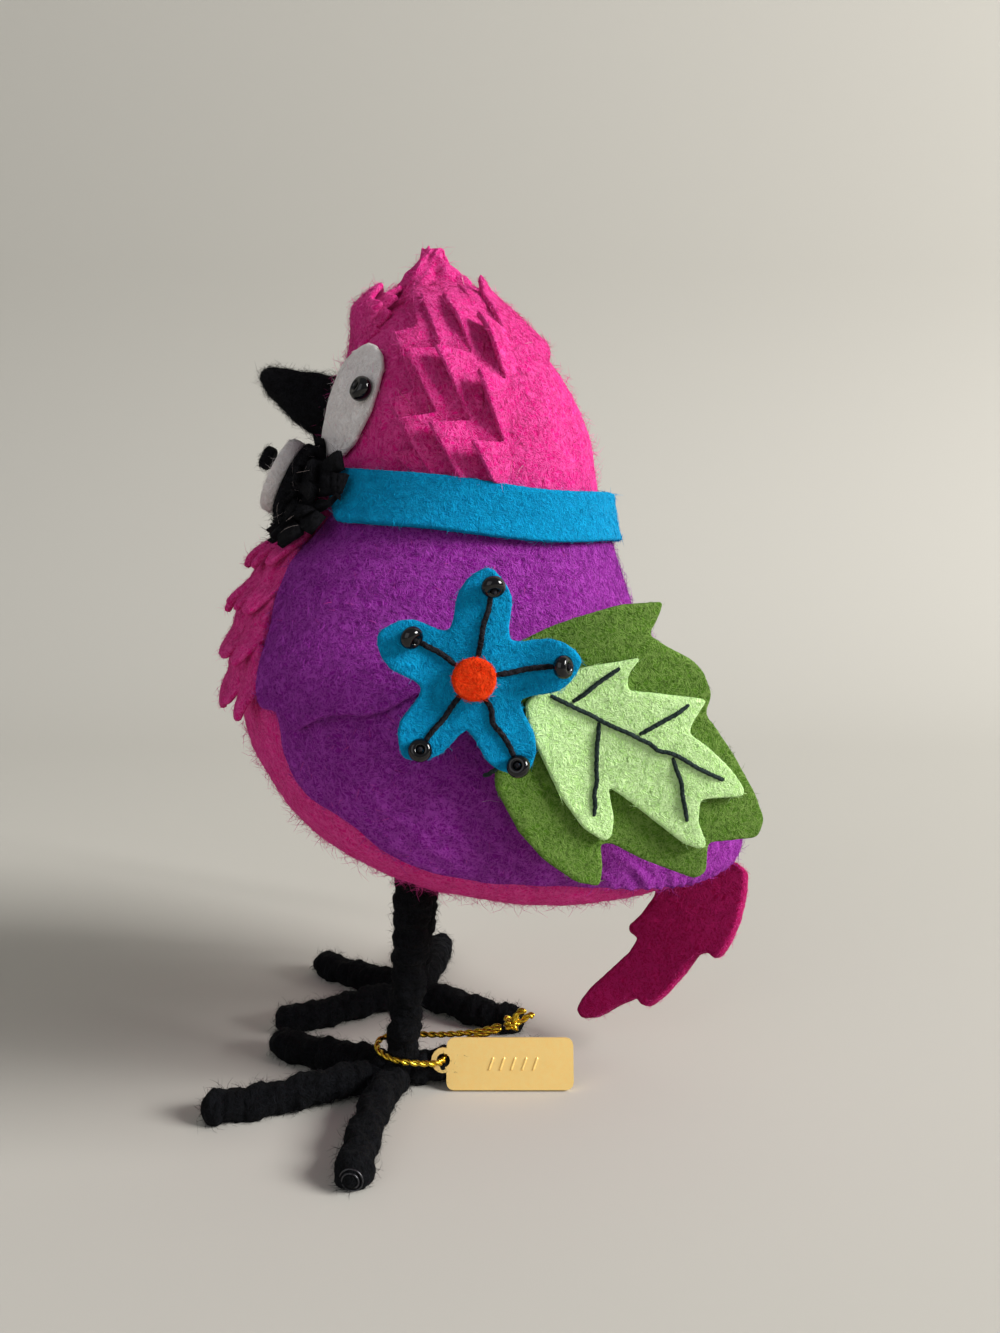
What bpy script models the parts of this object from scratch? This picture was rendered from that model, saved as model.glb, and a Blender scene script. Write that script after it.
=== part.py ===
"""A felt bird ornament that stands on two wire legs wrapped in black yarn.

The bird faces -Y, its left side is +X and +Z is up. Sizes are in millimetres
and become metres where a mesh is made. Angles are in degrees. On the body, an
angle of 0 is the breast, 90 the bird's left side and 180 its back.
"""

import math

import bmesh
import bpy
from mathutils import Vector

METRES = 0.001

# Felt sheets and the clearances between pieces
FELT = 1.2
GAP = 0.35
SKIN_GAP = 0.5
LAYER = FELT + GAP
# Where a sheet steps over a tucked edge: how far past the edge, and how long its slope is
LAP_CLEARANCE = 0.4
LAP_SLOPE = 2.0

# Wool body: height, front, back, half width and how far it narrows to the rear.
# It is rounded off above the last slice and below the first one.
BODY_SLICES = (
    (35.5, 7.0, 59.8, 20.8, 0.32),
    (38.5, -0.5, 62.4, 25.0, 0.40),
    (42.0, -7.0, 63.0, 28.5, 0.45),
    (48.0, -15.5, 60.2, 33.0, 0.42),
    (55.0, -22.2, 56.3, 35.6, 0.36),
    (64.0, -27.0, 51.3, 36.6, 0.28),
    (74.0, -29.0, 46.4, 35.6, 0.20),
    (84.0, -28.0, 42.0, 32.6, 0.12),
    (94.0, -23.6, 38.4, 28.4, 0.06),
    (103.0, -17.0, 36.0, 25.2, 0.02),
    (112.0, -13.0, 35.2, 24.0, 0.00),
    (121.0, -12.4, 33.0, 23.0, 0.00),
    (129.0, -10.2, 29.2, 20.4, 0.00),
    (136.0, -5.4, 23.6, 15.4, 0.00),
)
CROWN = 6.0
KEEL = 4.8
BODY_RINGS = 22
BODY_SIDES = 28

# Turquoise collar, a ribbon that drops towards the back
COLLAR_HEIGHT = 104.6
COLLAR_TILT = 2.9
COLLAR_WIDTH = 8.3
COLLAR_FELT = 1.4
COLLAR_FRONT = 24.0
COLLAR_COLUMNS = 32

# Purple cape over the shoulders, and the cover below it
CAPE_FRONT = 44.0
CAPE_HEM = 71.5
CAPE_CORNER_DROP = 9.0
CAPE_CORNER_SPAN = 10.0
SCALLOP_START = 57.0
SCALLOP_DEPTH = 1.6
SCALLOPS_A_SIDE = 3.5
CAPE_COLUMNS = 30
CAPE_ROWS = 4
CAPE_ROW_EASE = 1.4
COVER_COLUMNS = 28
COVER_ROWS = 6
COVER_ROW_EASE = 1.7
COVER_FRONT = 47.0
COVER_TUCK = 6.0
COVER_HEM = ((47.0, 66.0), (52.0, 61.9), (61.0, 56.3), (70.0, 53.0), (81.0, 48.2), (90.0, 45.6),
             (104.0, 42.4), (125.0, 39.4), (150.0, 39.2), (180.0, 41.0))

# Rows of pink teeth on the breast, from the top row down
BREAST_ROWS = 4
BREAST_BELOW_PUFF = 1.1
BREAST_FIRST_TIP = 4.4
BREAST_PITCH = 7.5
BREAST_SPAN = 41.0
BREAST_TEETH = 7
TOOTH_DEPTH = 3.6
TOOTH_TUCK = 0.5

# Bands of pink teeth over the head, from front to back
HEAD_BANDS = ("front", "middle", "rear")
HEAD_TIPS = (3.5, 7.5, 16.3)
HEAD_TOOTH_DEPTHS = (5.0, 6.0, 4.5)
HEAD_REAR_EDGE = 30.0
HEAD_TOOTH_PITCH = 21.0
HEAD_TOOTH_FRONT = 0.12
HEAD_TOOTH_REAR = 0.44
HEAD_TOOTH_MARGIN = 4.0
HEAD_AXIS_HEIGHT = 108.0
HEAD_TUCK = 0.6
HEAD_ROW = 4.0

# Crest on top of the head, seen from the side
CREST_WIDTH = 11.0
CREST_TOP_SHARE = 0.55
CREST_PROFILE = ((-3.4, 138.4), (2.6, 142.0), (3.0, 144.0), (6.6, 145.9), (8.2, 147.2), (7.4, 150.0),
                 (5.9, 148.9), (5.0, 149.8), (2.6, 147.2), (-0.6, 142.6))

# Black beak: the top and bottom of its base and of its blunt tip
BEAK_ROOT_TOP = (-11.6, 126.3)
BEAK_ROOT_BOTTOM = (-13.2, 120.6)
BEAK_BASE_TOP = (-11.6, 127.5)
BEAK_BASE_BOTTOM = (-16.4, 117.2)
BEAK_TIP_TOP = (-25.0, 128.7)
BEAK_TIP_BOTTOM = (-25.4, 124.9)
BEAK_HALF_WIDTH = 4.9
BEAK_TIP_HALF_WIDTH = 1.9
BEAK_SWELL = 0.7
BEAK_NOSE = 0.7
BEAK_SECTIONS = 5
BEAK_SIDES = 10

# Eyes: white felt patches with black beads
EYE_ANGLE = 44.0
EYE_OVER_COLLAR = 17.0
EYE_PATCH_LONG = 9.6
EYE_PATCH_SHORT = 5.6
EYE_PATCH_LEAN = 22.0
EYE_PATCH_FELT = 0.9
EYE_BEAD_ANGLE = 53.0
EYE_BEAD_RISE = 1.2
EYE_BEAD_RADIUS = 2.0
EYE_BEAD_HALF_DEPTH = 1.5
EYE_PATCH_SIDES = 16

# Rosette at the throat: a fringed black puff, a white disc and a black button
PUFF_BELOW_COLLAR = 0.6
PUFF_RADIUS = 8.4
PUFF_DEPTH = 3.6
PUFF_NOTCH = 0.9
PUFF_POINTS = 12
ROSETTE_RISE = -0.6
ROSETTE_TILT = 26.6
ROSETTE_RADIUS = 7.05
ROSETTE_THICKNESS = 2.6
BUTTON_RADIUS = 2.2
BUTTON_THICKNESS = 1.8
BUTTON_RISE = 1.8

# Leaves and flower on each side, cut flat
LEAF_CLEARANCE = 0.55
LEAF_FRONT = 17.0
LEAF_TURN = 11.0
DARK_LEAF = (
    (1.0, 82.0), (3.0, 84.3), (8.6, 86.9), (13.7, 88.6), (19.4, 90.1), (26.2, 90.4), (25.3, 88.0),
    (23.9, 85.5), (26.6, 83.7), (31.0, 81.4), (32.9, 79.5), (34.3, 75.9), (33.2, 73.0), (34.9, 71.0),
    (38.1, 66.4), (41.8, 60.2), (43.6, 55.6), (42.5, 52.8), (34.2, 52.5), (34.1, 47.6), (32.4, 46.5),
    (29.6, 47.6), (24.2, 49.9), (18.8, 53.0), (16.9, 53.3), (17.3, 49.4), (16.8, 46.4), (13.0, 47.4),
    (7.9, 51.3), (4.0, 55.9), (0.3, 63.1), (0.6, 72.0),
)
LIGHT_LEAF = (
    (4.8, 76.0), (9.2, 79.0), (13.7, 81.0), (19.4, 81.8), (22.5, 82.3), (20.4, 79.7), (20.6, 77.3),
    (25.0, 76.8), (33.2, 75.5), (30.7, 71.8), (30.3, 70.4), (33.4, 68.2), (37.2, 64.7), (39.6, 61.5),
    (39.6, 60.0), (32.4, 60.0), (32.2, 56.5), (33.8, 52.6), (32.6, 51.8), (29.8, 53.1), (25.5, 56.6),
    (20.4, 60.8), (17.9, 62.5), (18.9, 57.9), (18.6, 54.6), (17.4, 53.9), (14.0, 56.3), (10.2, 61.7),
    (7.7, 67.1), (5.4, 71.8),
)
FLOWER_ALONG = 14.5
FLOWER_HEIGHT = 79.7
FLOWER_TURN = 5.0
FLOWER_SPIN = -8.6
FLOWER_PETALS = 5
PETAL_LENGTH = 16.6
PETAL_HALF_WIDTH = 4.5
FLOWER_NOTCH = 7.6
DOT_RADIUS = 3.4
DOT_THICKNESS = 1.6
DOT_SIDES = 16
BEAD_RADIUS = 1.75
BEAD_DISTANCE = 13.4

# Legs and toes: wire wrapped in yarn
FOOT_OUT = 15.4
LEG_TOP = (16.7, 3.4, 45.0)
LEG_RADIUS_TOP = 3.2
LEG_RADIUS_FOOT = 2.7
LEG_SIDES = 10
TOE_RADIUS = 2.8
TOE_SIDES = 7
TOE_SINK = 0.6
TOE_WRAP_STEP = 4.4
TOE_WRAP_DEPTH = 0.22
TOES = {
    "left": ((27.2, -33.1), (46.8, -4.6), (3.6, -25.7), (8.0, 27.0)),
    "right": ((-31.7, -23.0), (-42.1, 4.1), (-3.6, -26.8), (-3.2, 23.0)),
}

# Pink tail feather: distance down its length, and towards its rear edge
TAIL_ROOT = (0.0, 60.0, 33.0)
TAIL_SLOPE = 47.1
TAIL_TWIST = 32.0
TAIL_THICKNESS = 3.0
TAIL_OUTLINE = (
    (-5.6, 3.4), (-0.7, 7.4), (4.8, 11.0), (9.5, 12.6), (11.1, 9.8), (19.3, 10.4), (25.6, 10.3),
    (26.9, 5.9), (29.8, 5.3), (37.0, 1.9), (37.4, -0.8), (35.4, -2.1), (27.0, -2.5), (18.9, -2.5),
    (18.4, -4.6), (10.0, -5.4), (6.5, -9.5), (0.5, -7.0), (-4.0, -3.0), (-5.4, 0.6),
)
TAIL_SEAT = 0.9

# Gold tag that leans on the left foot's back toe, and the tie that holds it
TAG_LENGTH = 23.0
TAG_HEIGHT = 9.0
TAG_THICKNESS = 0.8
TAG_CORNER = 1.3
TAG_EAR_RADIUS = 2.2
TAG_EAR_OUT = 0.6
TAG_EAR_HEIGHT = 5.1
TAG_HOLE_RADIUS = 1.25
TAG_FOOT = (18.3, 8.6, 0.35)
TAG_LEAN = 20.0
CORD_RADIUS = 0.5
CORD_SAMPLES = 30
KNOT_CENTRE = (12.2, 20.4, 9.9)
KNOT_RADIUS = 1.3
KNOT_ENDS = ((13.0, 21.6, 12.4), (12.2, 24.4, 11.4))
CORD_ROUTE = (
    (12.1, 18.5, 9.6), (12.0, 14.0, 8.3), (11.6, 7.5, 7.5), (11.3, 1.0, 7.4), (13.2, -3.4, 7.6),
    (16.6, -3.8, 7.4), (19.4, -1.0, 7.0), (19.6, 3.0, 6.4), (18.8, 6.3, 5.8), (17.5, 7.7, 5.4),
    (16.2, 8.0, 5.05), (15.1, 8.4, 5.5), (14.2, 9.9, 6.7), (13.3, 13.0, 7.7), (13.1, 16.6, 8.8),
    (12.9, 18.6, 9.4),
)

COLOURS = {
    "pink_wool": ((0.52, 0.03, 0.20), 0.95, 0.0),
    "pink_felt": ((0.62, 0.04, 0.25), 0.95, 0.0),
    "purple_felt": ((0.20, 0.02, 0.24), 0.95, 0.0),
    "turquoise_felt": ((0.0, 0.24, 0.45), 0.95, 0.0),
    "white_felt": ((0.80, 0.79, 0.80), 0.95, 0.0),
    "black_felt": ((0.01, 0.01, 0.012), 0.95, 0.0),
    "dark_green_felt": ((0.09, 0.20, 0.03), 0.95, 0.0),
    "light_green_felt": ((0.42, 0.68, 0.22), 0.95, 0.0),
    "orange_felt": ((0.85, 0.09, 0.02), 0.95, 0.0),
    "black_yarn": ((0.008, 0.008, 0.01), 0.9, 0.0),
    "black_glass": ((0.01, 0.01, 0.01), 0.08, 0.0),
    "gold_tag": ((0.78, 0.56, 0.22), 0.3, 1.0),
    "gold_thread": ((0.80, 0.58, 0.10), 0.25, 1.0),
}


def clear_scene():
    for thing in list(bpy.data.objects):
        bpy.data.objects.remove(thing, do_unlink=True)


def finish_material(name):
    """A material of one of the named finishes, made once."""
    if name in bpy.data.materials:
        return bpy.data.materials[name]
    colour, roughness, metallic = COLOURS[name]
    material = bpy.data.materials.new(name)
    material.use_nodes = True
    shader = material.node_tree.nodes["Principled BSDF"]
    shader.inputs["Base Color"].default_value = (*colour, 1.0)
    shader.inputs["Roughness"].default_value = roughness
    shader.inputs["Metallic"].default_value = metallic
    return material


def piece(name, corners, faces, finish):
    """One closed solid from corners in millimetres."""
    mesh = bpy.data.meshes.new(name)
    mesh.from_pydata([Vector(corner) * METRES for corner in corners], [], faces)
    shape = bmesh.new()
    shape.from_mesh(mesh)
    bmesh.ops.recalc_face_normals(shape, faces=shape.faces)
    shape.to_mesh(mesh)
    shape.free()
    mesh.shade_smooth()
    mesh.set_sharp_from_angle(angle=math.radians(40))
    thing = bpy.data.objects.new(name, mesh)
    bpy.context.scene.collection.objects.link(thing)
    mesh.materials.append(finish_material(finish))
    return thing


def make_cutter(thing):
    thing.hide_render = True
    thing.display_type = "WIRE"
    return thing


def combine(thing, cutter, operation):
    step = thing.modifiers.new(operation.lower(), "BOOLEAN")
    step.operation = operation
    step.object = make_cutter(cutter)


def smooth_value(knots, where, column):
    """A smooth curve through knots, without overshoot, read at one place."""
    places = [knot[0] for knot in knots]
    values = [knot[column] for knot in knots]
    where = min(max(where, places[0]), places[-1])
    slopes = [(values[k + 1] - values[k]) / (places[k + 1] - places[k]) for k in range(len(knots) - 1)]
    low = 0
    while low < len(knots) - 2 and where > places[low + 1]:
        low += 1

    def tangent(k):
        if k == 0:
            return slopes[0]
        if k == len(knots) - 1:
            return slopes[-1]
        before, after = slopes[k - 1], slopes[k]
        return 0.0 if before * after <= 0.0 else 2.0 * before * after / (before + after)

    span = places[low + 1] - places[low]
    t = (where - places[low]) / span
    return ((2 * t ** 3 - 3 * t ** 2 + 1) * values[low] + (t ** 3 - 2 * t ** 2 + t) * span * tangent(low)
            + (-2 * t ** 3 + 3 * t ** 2) * values[low + 1] + (t ** 3 - t ** 2) * span * tangent(low + 1))


def body_slice(height):
    """Centre, half length, half width and narrowing of the body at a height."""
    front, back, half_width, narrowing = (smooth_value(BODY_SLICES, height, k) for k in (1, 2, 3, 4))
    return (front + back) / 2, (back - front) / 2, half_width, narrowing


def fullness(height):
    """One where the slices hold, and down to zero at the very top and bottom."""
    above = max(0.0, height - BODY_SLICES[-1][0]) / CROWN
    below = max(0.0, BODY_SLICES[0][0] - height) / KEEL
    return 1.0 - above - below


def body_point(angle, height):
    centre, half_length, half_width, narrowing = body_slice(height)
    turn = math.radians(angle)
    spread = math.sqrt(max(0.0, fullness(height)))
    across = half_width * math.sin(turn) * (1 + narrowing * spread * math.cos(turn))
    return Vector((across * spread, centre - half_length * spread * math.cos(turn), height))


def body_field(point):
    """Below zero inside the body and above zero outside it."""
    centre, half_length, half_width, narrowing = body_slice(point.z)
    along = min(max((centre - point.y) / half_length, -1.2), 1.2)
    return (point.x / (half_width * (1 + narrowing * along))) ** 2 + along ** 2 - fullness(point.z)


def body_normal(point):
    step = 0.05
    slope = Vector([
        body_field(point + axis * step) - body_field(point - axis * step)
        for axis in (Vector((1, 0, 0)), Vector((0, 1, 0)), Vector((0, 0, 1)))
    ])
    return slope.normalized()


def over_body(angle, height, lift):
    point = body_point(angle, height)
    return point + body_normal(point) * lift


def over_head(turn, along, lift):
    """A point over the head, turned about an axis that runs from front to back."""
    reach = Vector((math.sin(math.radians(turn)), 0.0, math.cos(math.radians(turn))))
    origin = Vector((0.0, along, HEAD_AXIS_HEIGHT))
    low, high = 0.0, 60.0
    for _ in range(40):
        middle = (low + high) / 2
        if body_field(origin + reach * middle) < 0.0:
            low = middle
        else:
            high = middle
    point = origin + reach * low
    return point + body_normal(point) * lift


def collar_line(angle):
    return COLLAR_HEIGHT + COLLAR_TILT * math.cos(math.radians(angle))


def sheet(name, under, over, finish):
    """A closed sheet between two grids of points, each a list of rows."""
    rows, columns = len(under), len(under[0])
    corners = [point for grid in (under, over) for row in grid for point in row]
    count = rows * columns

    def at(side, row, column):
        return side * count + row * columns + column

    faces = []
    for side in (0, 1):
        for row in range(rows - 1):
            for column in range(columns - 1):
                faces.append((at(side, row, column), at(side, row, column + 1),
                              at(side, row + 1, column + 1), at(side, row + 1, column)))
    rim = [(0, column) for column in range(columns)]
    rim += [(row, columns - 1) for row in range(1, rows)]
    rim += [(rows - 1, column) for column in range(columns - 2, -1, -1)]
    rim += [(row, 0) for row in range(rows - 2, 0, -1)]
    for k, (row, column) in enumerate(rim):
        next_row, next_column = rim[(k + 1) % len(rim)]
        faces.append((at(0, row, column), at(0, next_row, next_column),
                      at(1, next_row, next_column), at(1, row, column)))
    return piece(name, corners, faces, finish)


def lifted_sheet(name, place, grid, thickness, finish):
    """A sheet whose grid holds (first, second, lift) for a placing function."""
    under = [[place(first, second, lift) for first, second, lift in row] for row in grid]
    over = [[place(first, second, lift + thickness) for first, second, lift in row] for row in grid]
    return sheet(name, under, over, finish)


def rounded_rod(name, points, radii, sides, finish):
    """A rod through points, closed by a cap at each end."""
    points = [Vector(point) for point in points]
    corners, faces = [], []
    for k, (point, radius) in enumerate(zip(points, radii)):
        ahead = (points[min(k + 1, len(points) - 1)] - points[max(k - 1, 0)]).normalized()
        side = ahead.orthogonal() if abs(ahead.z) > 0.9 else ahead.cross(Vector((0, 0, 1)))
        side.normalize()
        up = side.cross(ahead)
        for j in range(sides):
            turn = 2 * math.pi * (j + 0.5) / sides
            corners.append(point + (side * math.cos(turn) + up * math.sin(turn)) * radius)
    for k in range(len(points) - 1):
        for j in range(sides):
            following = (j + 1) % sides
            faces.append((k * sides + j, k * sides + following,
                          (k + 1) * sides + following, (k + 1) * sides + j))
    faces.append(tuple(range(sides)))
    faces.append(tuple((len(points) - 1) * sides + j for j in range(sides)))
    return piece(name, corners, faces, finish)


def plate(name, outline, thickness, place, finish):
    """A flat plate: its outline is extruded along the third coordinate of place."""
    count = len(outline)
    corners = [place(first, second, 0.0) for first, second in outline]
    corners += [place(first, second, thickness) for first, second in outline]
    faces = [tuple(range(count)), tuple(range(count, 2 * count))]
    faces += [(k, (k + 1) % count, count + (k + 1) % count, count + k) for k in range(count)]
    return piece(name, corners, faces, finish)


def ball_faces(sides, rings):
    """Faces of a ball whose corners are a pole, the rings and the other pole."""
    last = 1 + (rings - 1) * sides
    faces = [(0, 1 + (j + 1) % sides, 1 + j) for j in range(sides)]
    for ring in range(rings - 2):
        here, beyond = 1 + ring * sides, 1 + (ring + 1) * sides
        faces += [(here + j, here + (j + 1) % sides, beyond + (j + 1) % sides, beyond + j)
                  for j in range(sides)]
    start = last - sides
    faces += [(last, start + j, start + (j + 1) % sides) for j in range(sides)]
    return faces


def dome(name, centre, axis, radius, height, sides, rings, finish):
    """A bead or button: an ellipsoid with its short axis along axis."""
    axis = Vector(axis).normalized()
    first = axis.orthogonal().normalized()
    second = axis.cross(first)
    centre = Vector(centre)
    corners = [centre - axis * height]
    for k in range(1, rings):
        tilt = math.pi * k / rings
        for j in range(sides):
            turn = 2 * math.pi * j / sides
            around = first * math.cos(turn) + second * math.sin(turn)
            corners.append(centre + around * radius * math.sin(tilt) - axis * height * math.cos(tilt))
    corners.append(centre + axis * height)
    return piece(name, corners, ball_faces(sides, rings), finish)


def side_sign(side):
    return 1.0 if side == "left" else -1.0


def wool_shape(name, lift):
    """The outer shape of the wool, lifted off it by the same distance all over."""
    low, high = BODY_SLICES[0][0] - KEEL, BODY_SLICES[-1][0] + CROWN
    corners = [body_point(0.0, low)]
    for ring in range(1, BODY_RINGS):
        share = (1 - math.cos(math.pi * ring / BODY_RINGS)) / 2
        height = low + (high - low) * share
        corners += [body_point(360.0 * j / BODY_SIDES, height) for j in range(BODY_SIDES)]
    corners.append(body_point(0.0, high))
    corners = [corner + body_normal(corner) * lift for corner in corners]
    return piece(name, corners, ball_faces(BODY_SIDES, BODY_RINGS), "pink_wool")


def add_body():
    body = wool_shape("body", 0.0)
    for side in ("left", "right"):
        combine(body, add_leg_socket(side), "DIFFERENCE")


def leg_line(side, share):
    """A point on a leg's axis, from 0 at the foot to 1 at the top inside the body."""
    sign = side_sign(side)
    foot = Vector((sign * FOOT_OUT, 0.0, -TOE_SINK))
    top = Vector((sign * LEG_TOP[0], LEG_TOP[1], LEG_TOP[2]))
    return foot.lerp(top, share)


def add_leg_socket(side):
    length = (leg_line(side, 1.0) - leg_line(side, 0.0)).length
    ends = (leg_line(side, 0.5), leg_line(side, 1.0 + 2 * GAP / length))
    radius = LEG_RADIUS_TOP + GAP
    return rounded_rod("socket_" + side, ends, (radius, radius), LEG_SIDES, "pink_wool")


def wrapped_radius(radius, distance):
    """The radius of a yarn wrap, a little fuller in the middle of each turn."""
    return radius - TOE_WRAP_DEPTH * (1 + math.cos(2 * math.pi * distance / TOE_WRAP_STEP)) / 2


def add_leg(side):
    sign = side_sign(side)
    length = (leg_line(side, 1.0) - leg_line(side, 0.0)).length
    turns = int(length / (TOE_WRAP_STEP / 2))
    points, radii = [], []
    for k in range(turns + 1):
        share = k / turns
        radius = LEG_RADIUS_FOOT + (LEG_RADIUS_TOP - LEG_RADIUS_FOOT) * share
        points.append(leg_line(side, share))
        radii.append(wrapped_radius(radius, share * length))
    leg = rounded_rod("leg_" + side, points[::2] + points[-1:], radii[::2] + radii[-1:],
                      LEG_SIDES, "black_yarn")
    hub = Vector((sign * FOOT_OUT, 0.0, TOE_RADIUS - TOE_SINK))
    for number, (across, forward) in enumerate(TOES[side]):
        tip = Vector((across, forward, hub.z))
        reach = (tip - hub).length
        steps = max(4, round(reach / TOE_WRAP_STEP))
        points = [hub.lerp(tip, k / steps) for k in range(steps)]
        radii = [TOE_RADIUS - TOE_WRAP_DEPTH * (k % 2) for k in range(steps)]
        points += [hub.lerp(tip, 1.0 - 0.8 / reach), tip]
        radii += [TOE_RADIUS * 0.86, TOE_RADIUS * 0.5]
        toe = rounded_rod(f"toe_{side}_{number}", points, radii, TOE_SIDES, "black_yarn")
        combine(leg, toe, "UNION")
    ground = plate("ground_" + side, ((-60, -60), (60, -60), (60, 60), (-60, 60)), 10.0,
                   lambda first, second, depth: Vector((first, second, -depth)), "black_yarn")
    combine(leg, ground, "DIFFERENCE")


def cape_hem(angle):
    around = min(angle, 360.0 - angle)
    period = (180.0 - SCALLOP_START) / SCALLOPS_A_SIDE
    return CAPE_HEM + SCALLOP_DEPTH * abs(math.sin(math.pi * (around - SCALLOP_START) / period))


def cape_top(angle):
    around = min(angle, 360.0 - angle)
    corner = max(0.0, 1.0 - (around - CAPE_FRONT) / CAPE_CORNER_SPAN)
    return collar_line(angle) - GAP - CAPE_CORNER_DROP * corner ** 2


def cover_top():
    return CAPE_HEM + COVER_TUCK


def add_cape():
    raised = SKIN_GAP + LAYER
    step = cover_top() + GAP + LAP_CLEARANCE
    knee = step + LAP_SLOPE
    grid = []
    for row in range(CAPE_ROWS + 3):
        line = []
        for column in range(CAPE_COLUMNS + 1):
            angle = CAPE_FRONT + (360.0 - 2 * CAPE_FRONT) * column / CAPE_COLUMNS
            if row <= CAPE_ROWS:
                share = (row / CAPE_ROWS) ** CAPE_ROW_EASE
                height = cape_top(angle) + (knee - cape_top(angle)) * share
                lift = SKIN_GAP
            else:
                height = step if row == CAPE_ROWS + 1 else cape_hem(angle)
                lift = raised
            line.append((angle, height, lift))
        grid.append(line)
    lifted_sheet("cape", over_body, grid, FELT, "purple_felt")


def add_cover():
    grid = []
    for row in range(COVER_ROWS + 1):
        share = 1.0 - (1.0 - row / COVER_ROWS) ** COVER_ROW_EASE
        line = []
        for column in range(COVER_COLUMNS + 1):
            angle = COVER_FRONT + (360.0 - 2 * COVER_FRONT) * column / COVER_COLUMNS
            hem = smooth_value(COVER_HEM, min(angle, 360.0 - angle), 1)
            line.append((angle, cover_top() + (hem - cover_top()) * share, SKIN_GAP))
        grid.append(line)
    lifted_sheet("back_cover", over_body, grid, FELT, "purple_felt")


def add_collar():
    lift = 2 * SKIN_GAP + FELT
    grid = []
    for edge in (0.5, -0.5):
        line = []
        for column in range(COLLAR_COLUMNS + 1):
            angle = COLLAR_FRONT + (360.0 - 2 * COLLAR_FRONT) * column / COLLAR_COLUMNS
            line.append((angle, collar_line(angle) + COLLAR_WIDTH * edge, lift))
        grid.append(line)
    lifted_sheet("collar", over_body, grid, COLLAR_FELT, "turquoise_felt")


def puff_height():
    return collar_line(0.0) - PUFF_BELOW_COLLAR


def add_breast_rows():
    root = puff_height() - PUFF_RADIUS - BREAST_BELOW_PUFF
    tip = root - BREAST_FIRST_TIP
    for number in range(BREAST_ROWS):
        notch = tip + TOOTH_DEPTH
        teeth = BREAST_TEETH + number % 2
        next_root = notch + GAP + TOOTH_TUCK
        raised = SKIN_GAP + (LAYER if number < BREAST_ROWS - 1 else 0.0)
        if number == 0:
            base = raised
            step, knee = notch + (root - notch) / 3, root - (root - notch) / 3
        else:
            base = SKIN_GAP
            step = next_root + LAP_CLEARANCE
            knee = step + LAP_SLOPE
        lines = []
        for column in range(2 * teeth + 1):
            angle = -BREAST_SPAN + BREAST_SPAN * column / teeth
            edge = tip if column % 2 else notch
            lines.append([(angle, edge, raised), (angle, step, raised),
                          (angle, knee, base), (angle, root, base)])
        grid = [[line[row] for line in lines] for row in range(4)]
        lifted_sheet(f"breast_row_{number + 1}", over_body, grid, FELT, "pink_felt")
        root = next_root
        tip -= BREAST_PITCH


def band_reach(along):
    """How far round the head a band goes, down to the top edge of the collar."""
    low, high = 60.0, 110.0
    for _ in range(24):
        middle = (low + high) / 2
        point = over_head(middle, along, 0.0)
        centre, half_length = body_slice(point.z)[:2]
        angle = math.degrees(math.acos(min(max((centre - along) / half_length, -1.0), 1.0)))
        if point.z > collar_line(angle) + COLLAR_WIDTH / 2 + 2 * GAP:
            low = middle
        else:
            high = middle
    return low


def add_head_bands():
    tucked_edge = None
    for number, (name, tip, depth) in enumerate(zip(HEAD_BANDS, HEAD_TIPS, HEAD_TOOTH_DEPTHS)):
        notch = tip + depth
        raised = SKIN_GAP + (LAYER if tucked_edge is not None else 0.0)
        step = notch + LAP_CLEARANCE if tucked_edge is None else tucked_edge + 2 * LAP_CLEARANCE
        knee = step + LAP_SLOPE / 2
        if number + 1 < len(HEAD_BANDS):
            rear = HEAD_TIPS[number + 1] + HEAD_TOOTH_DEPTHS[number + 1] + HEAD_TUCK
        else:
            rear = HEAD_REAR_EDGE
        reach = min(band_reach(tip), band_reach(rear))
        turns = [0.0]
        edges = [tip]
        tooth = HEAD_TOOTH_PITCH / 2
        while tooth < reach - HEAD_TOOTH_MARGIN:
            turns += [tooth - HEAD_TOOTH_FRONT * HEAD_TOOTH_PITCH, tooth,
                      tooth + HEAD_TOOTH_REAR * HEAD_TOOTH_PITCH]
            edges += [notch, tip, (tip + notch) / 2]
            tooth += HEAD_TOOTH_PITCH
        turns.append(reach)
        edges.append(notch)
        turns = [-turn for turn in turns[:0:-1]] + turns
        edges = edges[:0:-1] + edges
        back_rows = max(1, round((rear - knee) / HEAD_ROW))
        lines = []
        for turn, edge in zip(turns, edges):
            line = [(turn, edge, raised), (turn, (edge + step) / 2, raised), (turn, step, raised)]
            line += [(turn, knee + (rear - knee) * k / back_rows, SKIN_GAP) for k in range(back_rows + 1)]
            lines.append(line)
        grid = [[line[row] for line in lines] for row in range(len(lines[0]))]
        lifted_sheet("head_band_" + name, over_head, grid, FELT, "pink_felt")
        tucked_edge = rear


def add_crest():
    low, high = min(spot[1] for spot in CREST_PROFILE), max(spot[1] for spot in CREST_PROFILE)

    def place(along, height, depth):
        narrow = 1.0 - (1.0 - CREST_TOP_SHARE) * (height - low) / (high - low)
        return Vector(((depth - CREST_WIDTH / 2) * narrow, along, height))

    plate("crest", CREST_PROFILE, CREST_WIDTH, place, "pink_felt")


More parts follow.
